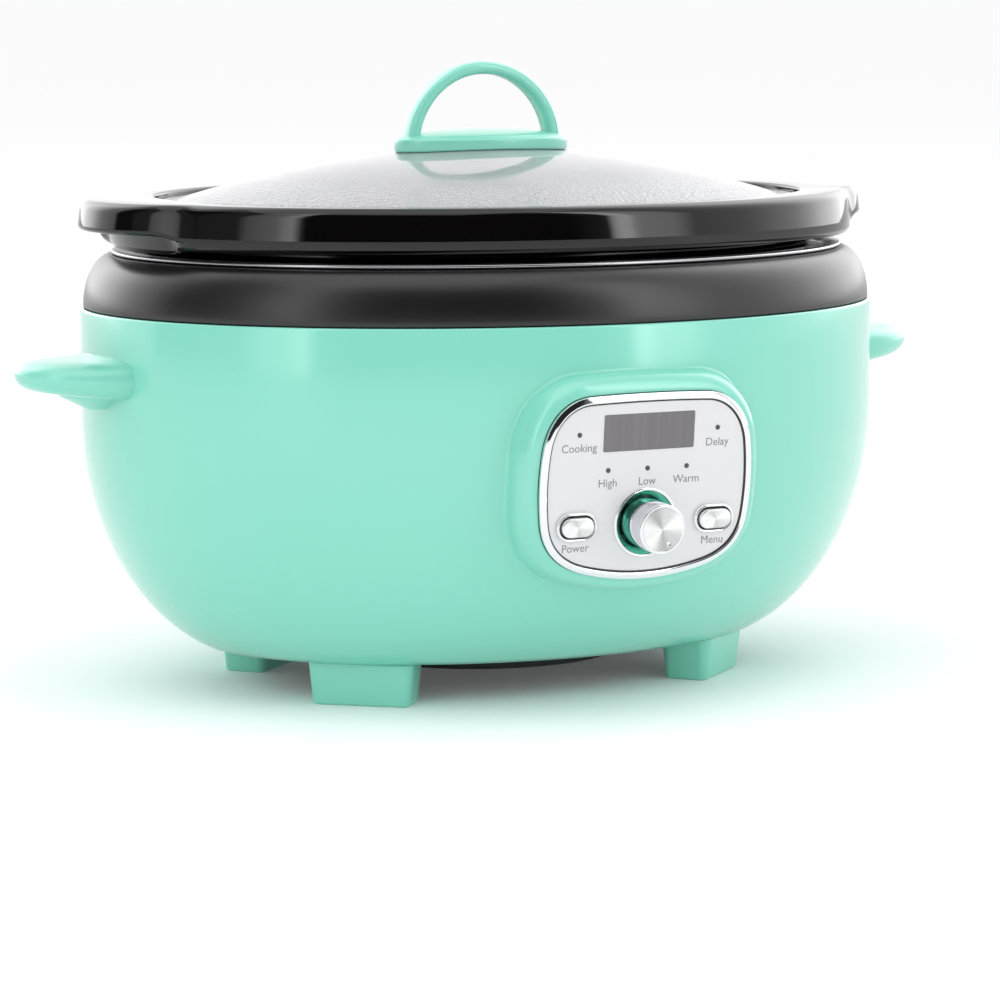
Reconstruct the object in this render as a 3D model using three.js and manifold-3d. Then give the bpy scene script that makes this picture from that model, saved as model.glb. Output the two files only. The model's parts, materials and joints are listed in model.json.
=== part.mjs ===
// An oval countertop slow cooker: a painted housing on four feet, a removable stoneware crock,
// a glass lid, and a control panel with a turning knob and two push buttons.
// Millimetres, +Z up, the panel faces -Y. The origin is under the middle of the whole cooker.

import * as THREE from 'three';
import { mergeVertices } from 'three/addons/utils/BufferGeometryUtils.js';
import Module from 'manifold-3d';

const wasm = await Module();
wasm.setup();

// ---------------------------------------------------------------- driving dimensions

const pieceGap = 0.3; // between two pieces that touch
const slideGap = 0.4; // around a piece that moves in a hole
const screwGap = 0.4; // around a screw in its hole
const ovalSteps = 36;
const curveSteps = 4;

// Housing: an oval shell with upright sides, curved in to a flat bottom
const bodyHalfLength = 170;
const bodyHalfWidth = 135.4;
const footHeight = 18;
const shellHeight = 137.5;
const shellThickness = 2;
const wallCurveHeight = 94; // from the flat bottom up to the upright part of the wall
const wallCurveReach = 72;
const wallCurveSpare = 6; // how much further down the curve would run
const baseOpeningInset = 78;

// Feet
const footWidth = 39.8;
const footDepth = 22;
const footDraft = 1.9;
const footCorner = 5;
const footNotchGap = 0.4; // around a foot, in the base plate
const footEndInset = 86.65; // of the outer face's middle, from the housing's ends
const footSideInset = 78.25;
const footTurn = THREE.MathUtils.degToRad(50.1); // of the outer face, from -X

// Side handles
const handleReach = 34.5; // beyond the wall
const handleHalfWidth = 28;
const handleDrop = 24.2; // below the shell's top
const handleRootThickness = 16;
const handleTipThickness = 11;
const handleEdge = 4.6;
const handleBraceReach = 17;
const handleBraceHalfWidth = 16;
const handleBraceDrop = 5;
const handleBraceEdge = 2.5;
const handleRootInset = 6; // how far inside the wall the root's centre lies

// Collar on top of the shell
const collarStep = 1.25; // set back from the shell
const collarShoulderInset = 13.2;
const collarShoulderHeight = 21.2;
const collarThickness = 2.6;
const collarSkirt = 6;

// Heated liner
const linerRingInset = 12.8;
const linerRingThickness = 1.5;
const linerWallInset = 20;
const linerThickness = 1.2;
const linerDraft = 6;
const linerFloorLift = 24; // above the shell's bottom
const linerCornerHeight = 16;
const linerCornerInset = 13;
const heaterThickness = 1.6;
const heaterBottomAboveCorner = 1;
const heaterBandHeight = 20;
const shieldThickness = 0.8;
const shieldDrop = 5;
const shieldMargin = 8;

// Crock
const rimEndReach = 19.2; // beyond the crock's wall
const rimSideReach = 10.8;
const rimLift = 3.5; // above the liner's ring
const rimHeight = 18;
const rimRound = 4;
const crockClearance = 5; // from the liner's wall
const crockWall = 9.5;
const crockFloorThickness = 8;
const crockCornerRadius = 14;
const lugReach = 11.5; // beyond the rim
const lugHalfLength = 36;
const lugHalfWidth = 45;
const lugThickness = 12;
const lugEdge = 2.5;
const lugGapHalfWidth = 38; // where the apron under a lug is set back
const lugGapDepth = 6;
const lidRecess = 6.5;
const lidSideGap = 1.5;

// Lid
const lidEndOverlap = 3.7; // over the crock's mouth
const lidSideOverlap = 4.3;
const lidThickness = 4;
const lidFlange = 6;
const lidRise = 21.2;
const lidCurvePower = 1.75;
const knobBaseHalfLength = 38.7;
const knobBaseHalfWidth = 20;
const knobBaseDrop = 2.6; // below the middle of the glass
const knobBaseEdge = 6;
const knobBaseDome = 3.6;
const loopSetBack = 3.7; // from the ends of its base
const loopRise = 27.5; // above the base's dome
const loopBand = 5.3;
const loopDepth = 10;
const loopRound = 1.6;
const lidScrewRadius = 2.5;
const lidScrewHeadRadius = 5;
const lidScrewHeadHeight = 2.5;
const lidWasherRadius = 10;
const lidWasherThickness = 1.5;
const lidWasherRelief = 0.55; // for the curve of the glass above it

// Control panel: sizes on the face, x to the right and y up from the face's centre
const panelDrop = 61; // of the face's centre, below the shell's top
const panelStandOff = 7.2; // of the face from the wall behind its centre
const panelLean = THREE.MathUtils.degToRad(5); // it looks slightly down
const faceHalfWidth = 43.4;
const faceHalfHeight = 31.6;
const faceCorner = 17;
const faceCornerSoftness = 0.45; // how square the corner curves are, as a share
const faceCornerLean = 0.6; // how far the corner curves lean in at the sides
const faceCornerDrop = 0.3;
const faceThickness = 1.5;
const faceBowTop = 0.5;
const faceBowSide = 1;
const faceBowBottom = 3.2;
const bezelWidth = 2.8;
const bezelProud = 0.9;
const bezelDepth = 2.1;
const padMargin = 8.8;
const padRound = 4;
const padDepth = 40;
const displayHalfWidth = 20;
const displayHalfHeight = 7.3;
const displayY = 20.3;
const displayDepth = 4;
const displaySink = 0.15; // of the window in the face
const displayMargin = 1; // of the display behind its window
const lensRadius = 1;
const lensProud = 0.1;
const outerLensX = 30.4;
const innerLensX = 17.3;
const innerLensY = 5.8;
const controlRowY = -15.6;
const knobRadius = 9.85;
const knobProud = 14.1;
const knobRingReach = 4.05; // beyond the knob
const knobRingWidth = 1.2;
const knobRingDepth = 4;
const knobRingFloor = 1.2; // thickness of its dished part
const knobRingLand = 0.8; // flat part of the dish beside the knob
const knobSink = 2; // how far the knob reaches into its ring
const knobFaceRound = 0.8;
const shaftRadius = 3;
const shaftInKnob = 9;
const encoderSize = 12;
const encoderDepth = 5.6;
const buttonX = 30.3;
const buttonHalfWidth = 7;
const buttonHalfHeight = 3.85;
const buttonProud = 2.5;
const buttonEdge = 0.7;
const buttonTravel = 1.5;
const buttonRingWidth = 2;
const buttonRingProud = 1.2;
const buttonStemRadius = 1.6;
const switchSize = 6;
const switchDepth = 3.2;
const boardDepth = 10.4; // from the face to the board
const boardThickness = 1.6;
const boardMargin = 2.4;
const coverDepth = 19;
const coverWall = 1.4;

// Base and power parts
const basePlateThickness = 2;
const basePlateOverlap = 8;
const baseBossEndInset = 32; // from the base's opening
const baseBossSideInset = 1.4;
const baseBossDrop = 6.8;
const baseScrewInset = 4;
const screwRadius = 1.8;
const screwHeadRadius = 3.4;
const screwHeadHeight = 2;
const screwLength = 7;
const handleScrewSpread = 11;
const powerBoardHalfLength = 38;
const powerBoardHalfWidth = 24;
const powerBoardLift = 3;
const relaySize = [19, 15, 10];
const sensorRadius = 7;
const fuseRadius = 1.7;
const fuseLength = 14;
const fuseX = 34;
const glandLift = 54; // above the shell's bottom
const glandRadius = 6;
const glandFlangeRadius = 9;
const glandFlangeThickness = 3;
const glandBoreRadius = 3.6;
const glandStandOff = 2.6;
const glandInside = 9;

// ---------------------------------------------------------------- values that follow

const shellBottom = footHeight;
const shellTop = shellBottom + shellHeight;
const wallCurveTop = shellBottom + wallCurveHeight;
const collarBottom = shellTop + pieceGap;
const collarTop = collarBottom + collarShoulderHeight;
const linerRingBottom = collarTop + pieceGap;
const linerRingTop = linerRingBottom + linerRingThickness;
const linerFloor = shellBottom + linerFloorLift;
const crockBottom = linerFloor + linerThickness + pieceGap;
const crockTopInset = linerWallInset + linerThickness + crockClearance;
const crockBottomInset = crockTopInset + linerDraft;
const rimBottom = linerRingTop + rimLift;
const rimTop = rimBottom + rimHeight;
const rimHalfLength = bodyHalfLength - crockTopInset + rimEndReach;
const rimHalfWidth = bodyHalfWidth - crockTopInset + rimSideReach;
const lidHalfLength = bodyHalfLength - crockTopInset - crockWall + lidEndOverlap;
const lidHalfWidth = bodyHalfWidth - crockTopInset - crockWall + lidSideOverlap;
const lidSeat = rimTop - lidRecess;
const lidBottom = lidSeat + pieceGap;
const lidEdgeTop = lidBottom + lidThickness;
const lidTop = lidEdgeTop + lidRise;
const loopHalfWidth = knobBaseHalfLength - loopSetBack;
const basePlateTop = shellBottom - pieceGap;
const baseBossHalfLength = bodyHalfLength - baseOpeningInset - baseBossEndInset;
const baseBossHalfWidth = bodyHalfWidth - baseOpeningInset - baseBossSideInset;
const footOutX = bodyHalfLength - footEndInset;
const footOutY = bodyHalfWidth - footSideInset;
const handleHeight = shellTop - handleDrop;
const panelHeight = shellTop - panelDrop;
const knobRingRadius = knobRadius + knobRingReach;
const glandHeight = shellBottom + glandLift;

// ---------------------------------------------------------------- geometry helpers

// Merges a geometry's seams, drops empty faces and turns its faces outwards
function closed(geometry) {
  const bare = geometry.clone();
  bare.deleteAttribute('normal');
  bare.deleteAttribute('uv');
  const merged = mergeVertices(bare, 1e-4);
  const old = merged.index.array;
  const corner = (i) => new THREE.Vector3().fromBufferAttribute(merged.attributes.position, i);
  const faces = [];
  let volume = 0;
  for (let i = 0; i < old.length; i += 3) {
    const [a, b, c] = [old[i], old[i + 1], old[i + 2]];
    if (a === b || b === c || c === a) continue;
    volume += corner(a).dot(corner(b).cross(corner(c)));
    faces.push([a, b, c]);
  }
  merged.setIndex(faces.flatMap(([a, b, c]) => (volume > 0 ? [a, b, c] : [a, c, b])));
  return merged;
}

function toManifold(geometry) {
  const solid = closed(geometry);
  return new wasm.Manifold(new wasm.Mesh({
    numProp: 3,
    vertProperties: new Float32Array(solid.attributes.position.array),
    triVerts: new Uint32Array(solid.index.array),
  }));
}

function fromManifold(solid) {
  const mesh = solid.getMesh();
  const geometry = new THREE.BufferGeometry();
  geometry.setAttribute('position', new THREE.BufferAttribute(new Float32Array(mesh.vertProperties), 3));
  geometry.setIndex(new THREE.BufferAttribute(new Uint32Array(mesh.triVerts), 1));
  return geometry;
}

function join(first, ...others) {
  return fromManifold(others.reduce((sum, other) => sum.add(toManifold(other)), toManifold(first)));
}

function cut(first, ...others) {
  return fromManifold(others.reduce((rest, other) => rest.subtract(toManifold(other)), toManifold(first)));
}

function moved(geometry, x, y, z) {
  return geometry.clone().translate(x, y, z);
}

// A solid with an oval plan. Each outline point is [half length, half width, height];
// the outline starts and ends on the axis, or closes on itself.
function ovalSolid(outline) {
  const profile = outline.map(([halfLength, , z]) => new THREE.Vector2(halfLength, z));
  const geometry = new THREE.LatheGeometry(profile, ovalSteps).rotateX(Math.PI / 2);
  const places = geometry.attributes.position;
  for (let i = 0; i < places.count; i += 1) {
    const [halfLength, halfWidth] = outline[i % outline.length];
    if (halfLength > 0) places.setY(i, places.getY(i) * halfWidth / halfLength);
  }
  return closed(geometry);
}

function ovalRing(outline) {
  return ovalSolid([...outline, outline[0]]);
}

// An outline point set in from the housing's widest oval
function inset(distance, z) {
  return [bodyHalfLength - distance, bodyHalfWidth - distance, z];
}

// The curve of the housing's wall, from its flat bottom up to where it stands upright
function wallCurve(thickness, bottom) {
  const reach = wallCurveReach - thickness;
  const drop = wallCurveHeight + wallCurveSpare - thickness;
  const start = Math.asin((wallCurveTop - bottom) / drop);
  return Array.from({ length: curveSteps + 1 }, (_, i) => {
    const angle = start * (1 - i / curveSteps);
    return inset(thickness + reach * (1 - Math.cos(angle)), wallCurveTop - drop * Math.sin(angle));
  });
}

// The housing's outer half width at a height
function wallHalfWidthAt(z) {
  const down = Math.max(wallCurveTop - z, 0) / (wallCurveHeight + wallCurveSpare);
  return bodyHalfWidth - wallCurveReach * (1 - Math.sqrt(1 - down * down));
}

function prism(shape, bottom, top, segments = 6) {
  const geometry = new THREE.ExtrudeGeometry(shape, {
    depth: top - bottom,
    bevelEnabled: false,
    curveSegments: segments,
  });
  return moved(geometry, 0, 0, bottom);
}

// A prism whose edges are rounded inwards from its stated outline
function softPrism(shape, bottom, top, round, segments = 6) {
  const geometry = new THREE.ExtrudeGeometry(shape, {
    depth: top - bottom - 2 * round,
    bevelThickness: round,
    bevelSize: round,
    bevelOffset: -round,
    bevelSegments: 1,
    curveSegments: segments,
  });
  return moved(geometry, 0, 0, bottom + round);
}

// A prism with holes right through it
function pierced(shape, holes, bottom, top) {
  return cut(prism(shape, bottom, top), ...holes.map((hole) => prism(hole, bottom - 1, top + 1, 8)));
}

function ellipse(x, y, halfLength, halfWidth) {
  return new THREE.Shape().absellipse(x, y, halfLength, halfWidth, 0, 2 * Math.PI);
}

function stadium(x, y, halfWidth, halfHeight) {
  const straight = halfWidth - halfHeight;
  return new THREE.Shape()
    .absarc(x + straight, y, halfHeight, -Math.PI / 2, Math.PI / 2)
    .absarc(x - straight, y, halfHeight, Math.PI / 2, 1.5 * Math.PI);
}

function roundedBox(halfWidth, halfHeight, corner) {
  return new THREE.Shape()
    .absarc(halfWidth - corner, -halfHeight + corner, corner, -Math.PI / 2, 0)
    .absarc(halfWidth - corner, halfHeight - corner, corner, 0, Math.PI / 2)
    .absarc(-halfWidth + corner, halfHeight - corner, corner, Math.PI / 2, Math.PI)
    .absarc(-halfWidth + corner, -halfHeight + corner, corner, Math.PI, 1.5 * Math.PI);
}

function box(width, depth, height, x, y, z) {
  return moved(new THREE.BoxGeometry(width, depth, height), x, y, z);
}

// An upright round bar
function bar(radius, bottom, top, x = 0, y = 0, sides = 16) {
  const geometry = new THREE.CylinderGeometry(radius, radius, top - bottom, sides).rotateX(Math.PI / 2);
  return moved(geometry, x, y, (top + bottom) / 2);
}

// A turned solid about Z, from [radius, height] points
function turned(points, sides = 24) {
  const profile = points.map(([r, z]) => new THREE.Vector2(r, z));
  return closed(new THREE.LatheGeometry(profile, sides).rotateX(Math.PI / 2));
}

// A screw with its head below z = 0 and its shank above
function screw(radius, headRadius, headHeight, length) {
  return turned([
    [0, -headHeight],
    [headRadius * 0.7, -headHeight],
    [headRadius, -headHeight * 0.45],
    [headRadius, 0],
    [radius, 0],
    [radius, length - radius],
    [0, length],
  ], 8);
}

// ---------------------------------------------------------------- materials

function finish(color, roughness, metalness = 0) {
  return new THREE.MeshStandardMaterial({ color, roughness, metalness });
}

const materials = {
  glossMint: finish(0x96e6d0, 0.16),
  satinMint: finish(0x9debd2, 0.45),
  satinBlack: finish(0x2a2829, 0.42),
  crockGlaze: finish(0x0b0a0b, 0.06),
  liner: finish(0xc9cacb, 0.3, 1),
  steel: finish(0xb9bbbd, 0.35, 1),
  chrome: finish(0xe4e5e8, 0.08, 1),
  silverFace: finish(0xe2e2e2, 0.38),
  lcd: finish(0x757375, 0.2),
  lens: finish(0x55565a, 0.3),
  plastic: finish(0x1c1c1e, 0.55),
  board: finish(0x1f5a38, 0.5),
  ceramic: finish(0xd9d6cc, 0.6),
  glass: finish(0xe9eef0, 0.05),
  silicone: finish(0xd8dcdc, 0.6),
};
Object.assign(materials.glass, { transparent: true, opacity: 0.35 });

function piece(name, geometry, material) {
  const mesh = new THREE.Mesh(closed(geometry), material);
  mesh.name = name;
  return mesh;
}

// ---------------------------------------------------------------- control panel frame

// The face's outline, grown by a distance on all sides
function faceOutline(grow) {
  const w = faceHalfWidth - faceBowSide + grow;
  const h = faceHalfHeight + grow;
  const r = faceCorner + grow;
  const k = faceCornerSoftness * r; // how far the curves' handles stop short of the corner
  const lean = w - faceCornerLean;
  const drop = h + faceCornerDrop;
  return new THREE.Shape()
    .moveTo(-w + r, h)
    .quadraticCurveTo(0, h + 2 * faceBowTop, w - r, h)
    .bezierCurveTo(w - k, h - faceCornerDrop, lean, h - k, w, h - r)
    .quadraticCurveTo(w + 2 * faceBowSide, 0, w, -h + r)
    .bezierCurveTo(lean, -h + k, w - k, -drop, w - r, -h)
    .quadraticCurveTo(0, -h - 2 * faceBowBottom, -w + r, -h)
    .bezierCurveTo(-w + k, -drop, -lean, -h + k, -w, -h + r)
    .quadraticCurveTo(-w - 2 * faceBowSide, 0, -w, h - r)
    .bezierCurveTo(-lean, h - k, -w + k, h - faceCornerDrop, -w + r, h);
}

const panel = new THREE.Group();
panel.position.set(0, -wallHalfWidthAt(panelHeight) - panelStandOff, panelHeight);
panel.rotation.x = Math.PI / 2 + panelLean;
panel.updateMatrix();

function onPanel(geometry) {
  return geometry.clone().applyMatrix4(panel.matrix);
}

// ---------------------------------------------------------------- housing

const bezelBottom = bezelProud - bezelDepth;
const padFront = bezelBottom - pieceGap;

// How far out the inside of the wall lies at a place along Y, on the oval's flat facets
function innerWallAt(y) {
  const turn = 2 * Math.PI / ovalSteps;
  const share = y / (bodyHalfWidth - shellThickness);
  const step = Math.floor(Math.asin(share) / turn);
  const along = (share - Math.sin(step * turn)) / (Math.sin((step + 1) * turn) - Math.sin(step * turn));
  const reach = THREE.MathUtils.lerp(Math.cos(step * turn), Math.cos((step + 1) * turn), along);
  return (bodyHalfLength - shellThickness) * reach;
}

// The head lies flat inside the wall, clear of where the wall curves towards it
function handleScrewPlace(side, along) {
  const wallX = innerWallAt(handleScrewSpread + screwHeadRadius);
  return [side * (wallX - pieceGap), along * handleScrewSpread, handleHeight];
}

function baseScrewPlaces() {
  const ringInset = baseOpeningInset - baseScrewInset;
  const x = bodyHalfLength - ringInset;
  const y = bodyHalfWidth - ringInset;
  return [[x, 0], [0, y], [-x, 0], [0, -y]];
}

// A bar that lies along X
function crossBar(radius, from, to, y, z) {
  const geometry = new THREE.CylinderGeometry(radius, radius, to - from, 8).rotateZ(Math.PI / 2);
  return moved(geometry, (from + to) / 2, y, z);
}

function outerShell() {
  const skin = ovalSolid([
    [0, 0, shellBottom],
    ...wallCurve(0, shellBottom),
    inset(0, shellTop),
    [0, 0, shellTop],
  ]);
  const inside = ovalSolid([
    [0, 0, shellBottom + shellThickness],
    ...wallCurve(shellThickness, shellBottom + shellThickness),
    inset(shellThickness, shellTop + 1),
    [0, 0, shellTop + 1],
  ]);
  const opening = ovalSolid([
    [0, 0, shellBottom - 1],
    inset(baseOpeningInset, shellBottom - 1),
    inset(baseOpeningInset, shellBottom + shellThickness + 1),
    [0, 0, shellBottom + shellThickness + 1],
  ]);
  const pad = onPanel(softPrism(faceOutline(padMargin), -padDepth, padFront, padRound));
  const pocket = onPanel(prism(faceOutline(pieceGap), -padDepth - 1, 1));
  const baseHoles = baseScrewPlaces().map(([x, y]) => (
    bar(screwRadius + screwGap, shellBottom - 1, shellBottom + shellThickness + 1, x, y, 8)));
  const handleHoles = [-1, 1].flatMap((side) => [-1, 1].map((along) => {
    const [x, y, z] = handleScrewPlace(side, along);
    const ends = [x - side * 2, x + side * 8].sort((a, b) => a - b);
    return crossBar(screwRadius + screwGap, ends[0], ends[1], y, z);
  }));
  const glandHole = bar(glandRadius + pieceGap, -padDepth, padDepth, 0, 0, 16).rotateX(Math.PI / 2)
    .translate(0, wallHalfWidthAt(glandHeight), glandHeight);
  return cut(join(skin, pad), inside, opening, pocket, glandHole, ...baseHoles, ...handleHoles);
}

function collarRing() {
  const rise = (thickness, z, up) => Array.from({ length: curveSteps + 1 }, (_, i) => {
    const angle = (Math.PI / 2) * (i / curveSteps);
    const reach = collarShoulderInset - collarStep;
    return inset(collarStep + thickness + reach * (1 - Math.cos(angle)), z + up * Math.sin(angle));
  });
  const innerInset = linerWallInset - pieceGap;
  const skirtInset = Math.max(collarStep + collarThickness, shellThickness + pieceGap);
  const innerRise = rise(
    skirtInset - collarStep + collarThickness, collarBottom, collarShoulderHeight - collarThickness);
  return ovalRing([
    ...rise(0, collarBottom, collarShoulderHeight),
    inset(innerInset, collarTop),
    inset(innerInset, collarTop - collarThickness),
    ...innerRise.reverse(),
    inset(skirtInset + collarThickness, collarBottom - collarSkirt),
    inset(skirtInset, collarBottom - collarSkirt),
    inset(skirtInset, collarBottom),
  ]);
}

const linerBottomInset = linerWallInset + linerDraft;

function heatingLiner() {
  const cornerTop = linerFloor + linerCornerHeight;
  const floorTop = linerFloor + linerThickness;
  const outerCorner = linerBottomInset + linerCornerInset;
  return ovalSolid([
    [0, 0, linerFloor],
    inset(outerCorner, linerFloor),
    inset(linerBottomInset + linerCornerInset * 0.25, linerFloor + linerCornerHeight * 0.35),
    inset(linerBottomInset, cornerTop),
    inset(linerWallInset, linerRingBottom),
    inset(linerRingInset, linerRingBottom),
    inset(linerRingInset, linerRingTop),
    inset(linerWallInset + linerThickness, linerRingTop),
    inset(linerBottomInset + linerThickness, cornerTop),
    inset(linerBottomInset + linerThickness + linerCornerInset * 0.25, floorTop + linerCornerHeight * 0.33),
    inset(outerCorner, floorTop),
    [0, 0, floorTop],
  ]);
}

// The liner's outer inset at a height above its corner
function linerInsetAt(z) {
  const cornerTop = linerFloor + linerCornerHeight;
  return linerBottomInset - linerDraft * (z - cornerTop) / (linerRingBottom - cornerTop);
}

const heaterBottom = linerFloor + linerCornerHeight + heaterBottomAboveCorner;

function heaterBand() {
  const heaterTop = heaterBottom + heaterBandHeight;
  const innerBottom = linerInsetAt(heaterBottom) - pieceGap;
  const innerTop = linerInsetAt(heaterTop) - pieceGap;
  return ovalRing([
    inset(innerBottom, heaterBottom),
    inset(innerBottom - heaterThickness, heaterBottom),
    inset(innerTop - heaterThickness, heaterTop),
    inset(innerTop, heaterTop),
  ]);
}

const shieldTop = linerFloor - shieldDrop;
const shieldInset = linerBottomInset + linerCornerInset + shieldMargin;

function heatShield() {
  return ovalSolid([
    [0, 0, shieldTop - shieldThickness],
    inset(shieldInset, shieldTop - shieldThickness),
    inset(shieldInset, shieldTop),
    [0, 0, shieldTop],
  ]);
}

function basePlate() {
  const flangeInset = baseOpeningInset - basePlateOverlap;
  const bossBottom = basePlateTop - basePlateThickness - baseBossDrop;
  const plate = ovalSolid([
    [0, 0, basePlateTop - basePlateThickness],
    inset(flangeInset, basePlateTop - basePlateThickness),
    inset(flangeInset, basePlateTop),
    [0, 0, basePlateTop],
  ]);
  const bossOutline = (shrink) => ellipse(0, 0, baseBossHalfLength - shrink, baseBossHalfWidth - shrink);
  const boss = prism(bossOutline(0), bossBottom, basePlateTop - 0.5, 16);
  const hollow = prism(
    bossOutline(basePlateThickness), bossBottom + basePlateThickness, basePlateTop + 1, 16);
  const holes = baseScrewPlaces().map(([x, y]) => (
    bar(screwRadius + screwGap, basePlateTop - basePlateThickness - 1, basePlateTop + 1, x, y, 8)));
  const footNotches = footPlaces.map(({ side, front }) => (
    prism(footOutline(footNotchGap), 0, footHeight).rotateZ(footAngle(side, front))
      .translate(side * footOutX, front * footOutY, 0)));
  return cut(join(plate, boss), hollow, ...holes, ...footNotches);
}

const footPlaces = [-1, 1].flatMap((front) => [-1, 1].map((side) => ({ side, front })));

function footAngle(side, front) {
  return Math.atan2(front * Math.sin(footTurn), side * Math.cos(footTurn));
}

// A foot's plan at its top, the middle of its outer face at the origin
function footOutline(grow) {
  const outline = roundedBox(footDepth / 2 + grow, footWidth / 2 + footDraft + grow, footCorner);
  return new THREE.Shape(outline.getPoints(3).map((p) => p.setX(p.x - footDepth / 2 + footDraft)));
}

// A block that narrows towards the floor, its outer face flat
function foot() {
  const block = prism(footOutline(0), 0, footHeight - pieceGap);
  const places = block.attributes.position;
  const middle = footDraft - footDepth / 2;
  for (let i = 0; i < places.count; i += 1) {
    const taper = footDraft * (1 - places.getZ(i) / (footHeight - pieceGap));
    places.setX(i, middle + (places.getX(i) - middle) * (1 - taper / (footDepth / 2)));
    places.setY(i, places.getY(i) * (1 - taper / (footWidth / 2 + footDraft)));
  }
  return block;
}

// The right handle: a flat lobe that thins towards its tip, on a small brace
function sideHandle() {
  const rootX = bodyHalfLength - handleRootInset;
  const tipX = bodyHalfLength + handleReach;
  const lobe = ellipse(0, 0, tipX - rootX, handleHalfWidth);
  const half = handleRootThickness / 2;
  const body = softPrism(lobe, -half, half, handleEdge, 10);
  const places = body.attributes.position;
  for (let i = 0; i < places.count; i += 1) {
    const along = THREE.MathUtils.clamp(places.getX(i) / (tipX - rootX), 0, 1);
    const thickness = THREE.MathUtils.lerp(handleRootThickness, handleTipThickness, along);
    places.setZ(i, places.getZ(i) * thickness / handleRootThickness);
  }
  const brace = softPrism(
    ellipse(0, 0, handleBraceReach + handleRootInset, handleBraceHalfWidth),
    -half - handleBraceDrop, 0, handleBraceEdge, 6);
  const whole = moved(join(body, brace), rootX, 0, handleHeight);
  const housing = ovalSolid([
    [0, 0, shellBottom],
    inset(-pieceGap, shellBottom),
    inset(-pieceGap, collarTop),
    [0, 0, collarTop],
  ]);
  const screwHoles = [-1, 1].map((along) => {
    const [x, y, z] = handleScrewPlace(1, along);
    return crossBar(screwRadius + screwGap, x - 1, x + screwLength + 1, y, z);
  });
  return cut(whole, housing, ...screwHoles);
}

// ---------------------------------------------------------------- crock and lid

function crock() {
  const cornerTop = crockBottom + crockCornerRadius;
  const floorTop = crockBottom + crockFloorThickness;
  const innerTop = crockTopInset + crockWall;
  const innerBottom = crockBottomInset + crockWall;
  const bend = crockCornerRadius * 0.3;
  const pot = ovalSolid([
    [0, 0, crockBottom],
    inset(crockBottomInset + crockCornerRadius, crockBottom),
    inset(crockBottomInset + bend, crockBottom + bend),
    inset(crockBottomInset, cornerTop),
    inset(crockTopInset, linerRingTop),
    inset(crockTopInset, lidSeat),
    inset(innerTop, lidSeat),
    inset(innerBottom, floorTop + crockCornerRadius),
    inset(innerBottom + bend, floorTop + bend),
    inset(innerBottom + crockCornerRadius, floorTop),
    [0, 0, floorTop],
  ]);
  const rimPoint = (distance, z) => [rimHalfLength - distance, rimHalfWidth - distance, z];
  const recess = [lidHalfLength + lidSideGap, lidHalfWidth + lidSideGap];
  const wallInside = inset(crockTopInset + crockWall / 2, 0).slice(0, 2);
  const rim = ovalRing([
    [...wallInside, lidSeat],
    [...wallInside, rimBottom + 1],
    [...inset(crockTopInset - 1, 0).slice(0, 2), rimBottom + 1],
    rimPoint(1.5, rimBottom),
    rimPoint(0, rimBottom + 1.5),
    rimPoint(0, rimTop - rimRound),
    rimPoint(rimRound * 0.3, rimTop - rimRound * 0.3),
    rimPoint(rimRound, rimTop),
    [...recess, rimTop],
    [...recess, lidSeat],
  ]);
  const lugBottom = rimTop - lugThickness;
  const lugX = rimHalfLength + lugReach - lugHalfLength;
  const lug = (side) => cut(
    softPrism(ellipse(side * lugX, 0, lugHalfLength, lugHalfWidth), lugBottom, rimTop, lugEdge, 10),
    ovalSolid([
      [0, 0, lugBottom - 1],
      [...wallInside, lugBottom - 1],
      [...wallInside, lidSeat],
      [...recess, lidSeat],
      [...recess, rimTop + 1],
      [0, 0, rimTop + 1],
    ]));
  const gap = (side) => box(
    lugHalfLength * 2, lugGapHalfWidth * 2, lugBottom - rimBottom + 2,
    side * (rimHalfLength - lugGapDepth + lugHalfLength), 0, (lugBottom + rimBottom) / 2 - 1);
  return join(pot, cut(rim, gap(-1), gap(1)), lug(-1), lug(1));
}

// The lid's upper surface, as a share of its size and a height
function lidHeightAt(share) {
  const domeShare = 1 - lidFlange / lidHalfLength;
  return lidEdgeTop + lidRise * (1 - Math.min(share / domeShare, 1) ** lidCurvePower);
}

function lidDome(lift) {
  const domeShare = 1 - lidFlange / lidHalfLength;
  const shares = Array.from({ length: curveSteps + 1 }, (_, i) => domeShare * (i / curveSteps));
  return shares.map((share) => [share * lidHalfLength, share * lidHalfWidth, lidHeightAt(share) + lift]);
}

function lidGlass() {
  const edge = (distance, z) => [lidHalfLength - distance, lidHalfWidth - distance, z];
  const glass = ovalSolid([
    ...lidDome(-lidThickness),
    edge(1, lidBottom),
    edge(0, lidBottom + 1),
    edge(0, lidEdgeTop - 1),
    edge(1, lidEdgeTop),
    ...lidDome(0).reverse(),
  ]);
  return cut(glass, bar(lidScrewRadius + screwGap, lidTop - lidThickness - 2, lidTop + 2));
}

const knobBaseBottom = lidTop - knobBaseDrop;
const knobDomeTop = knobBaseBottom + knobBaseEdge + knobBaseDome;

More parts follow.
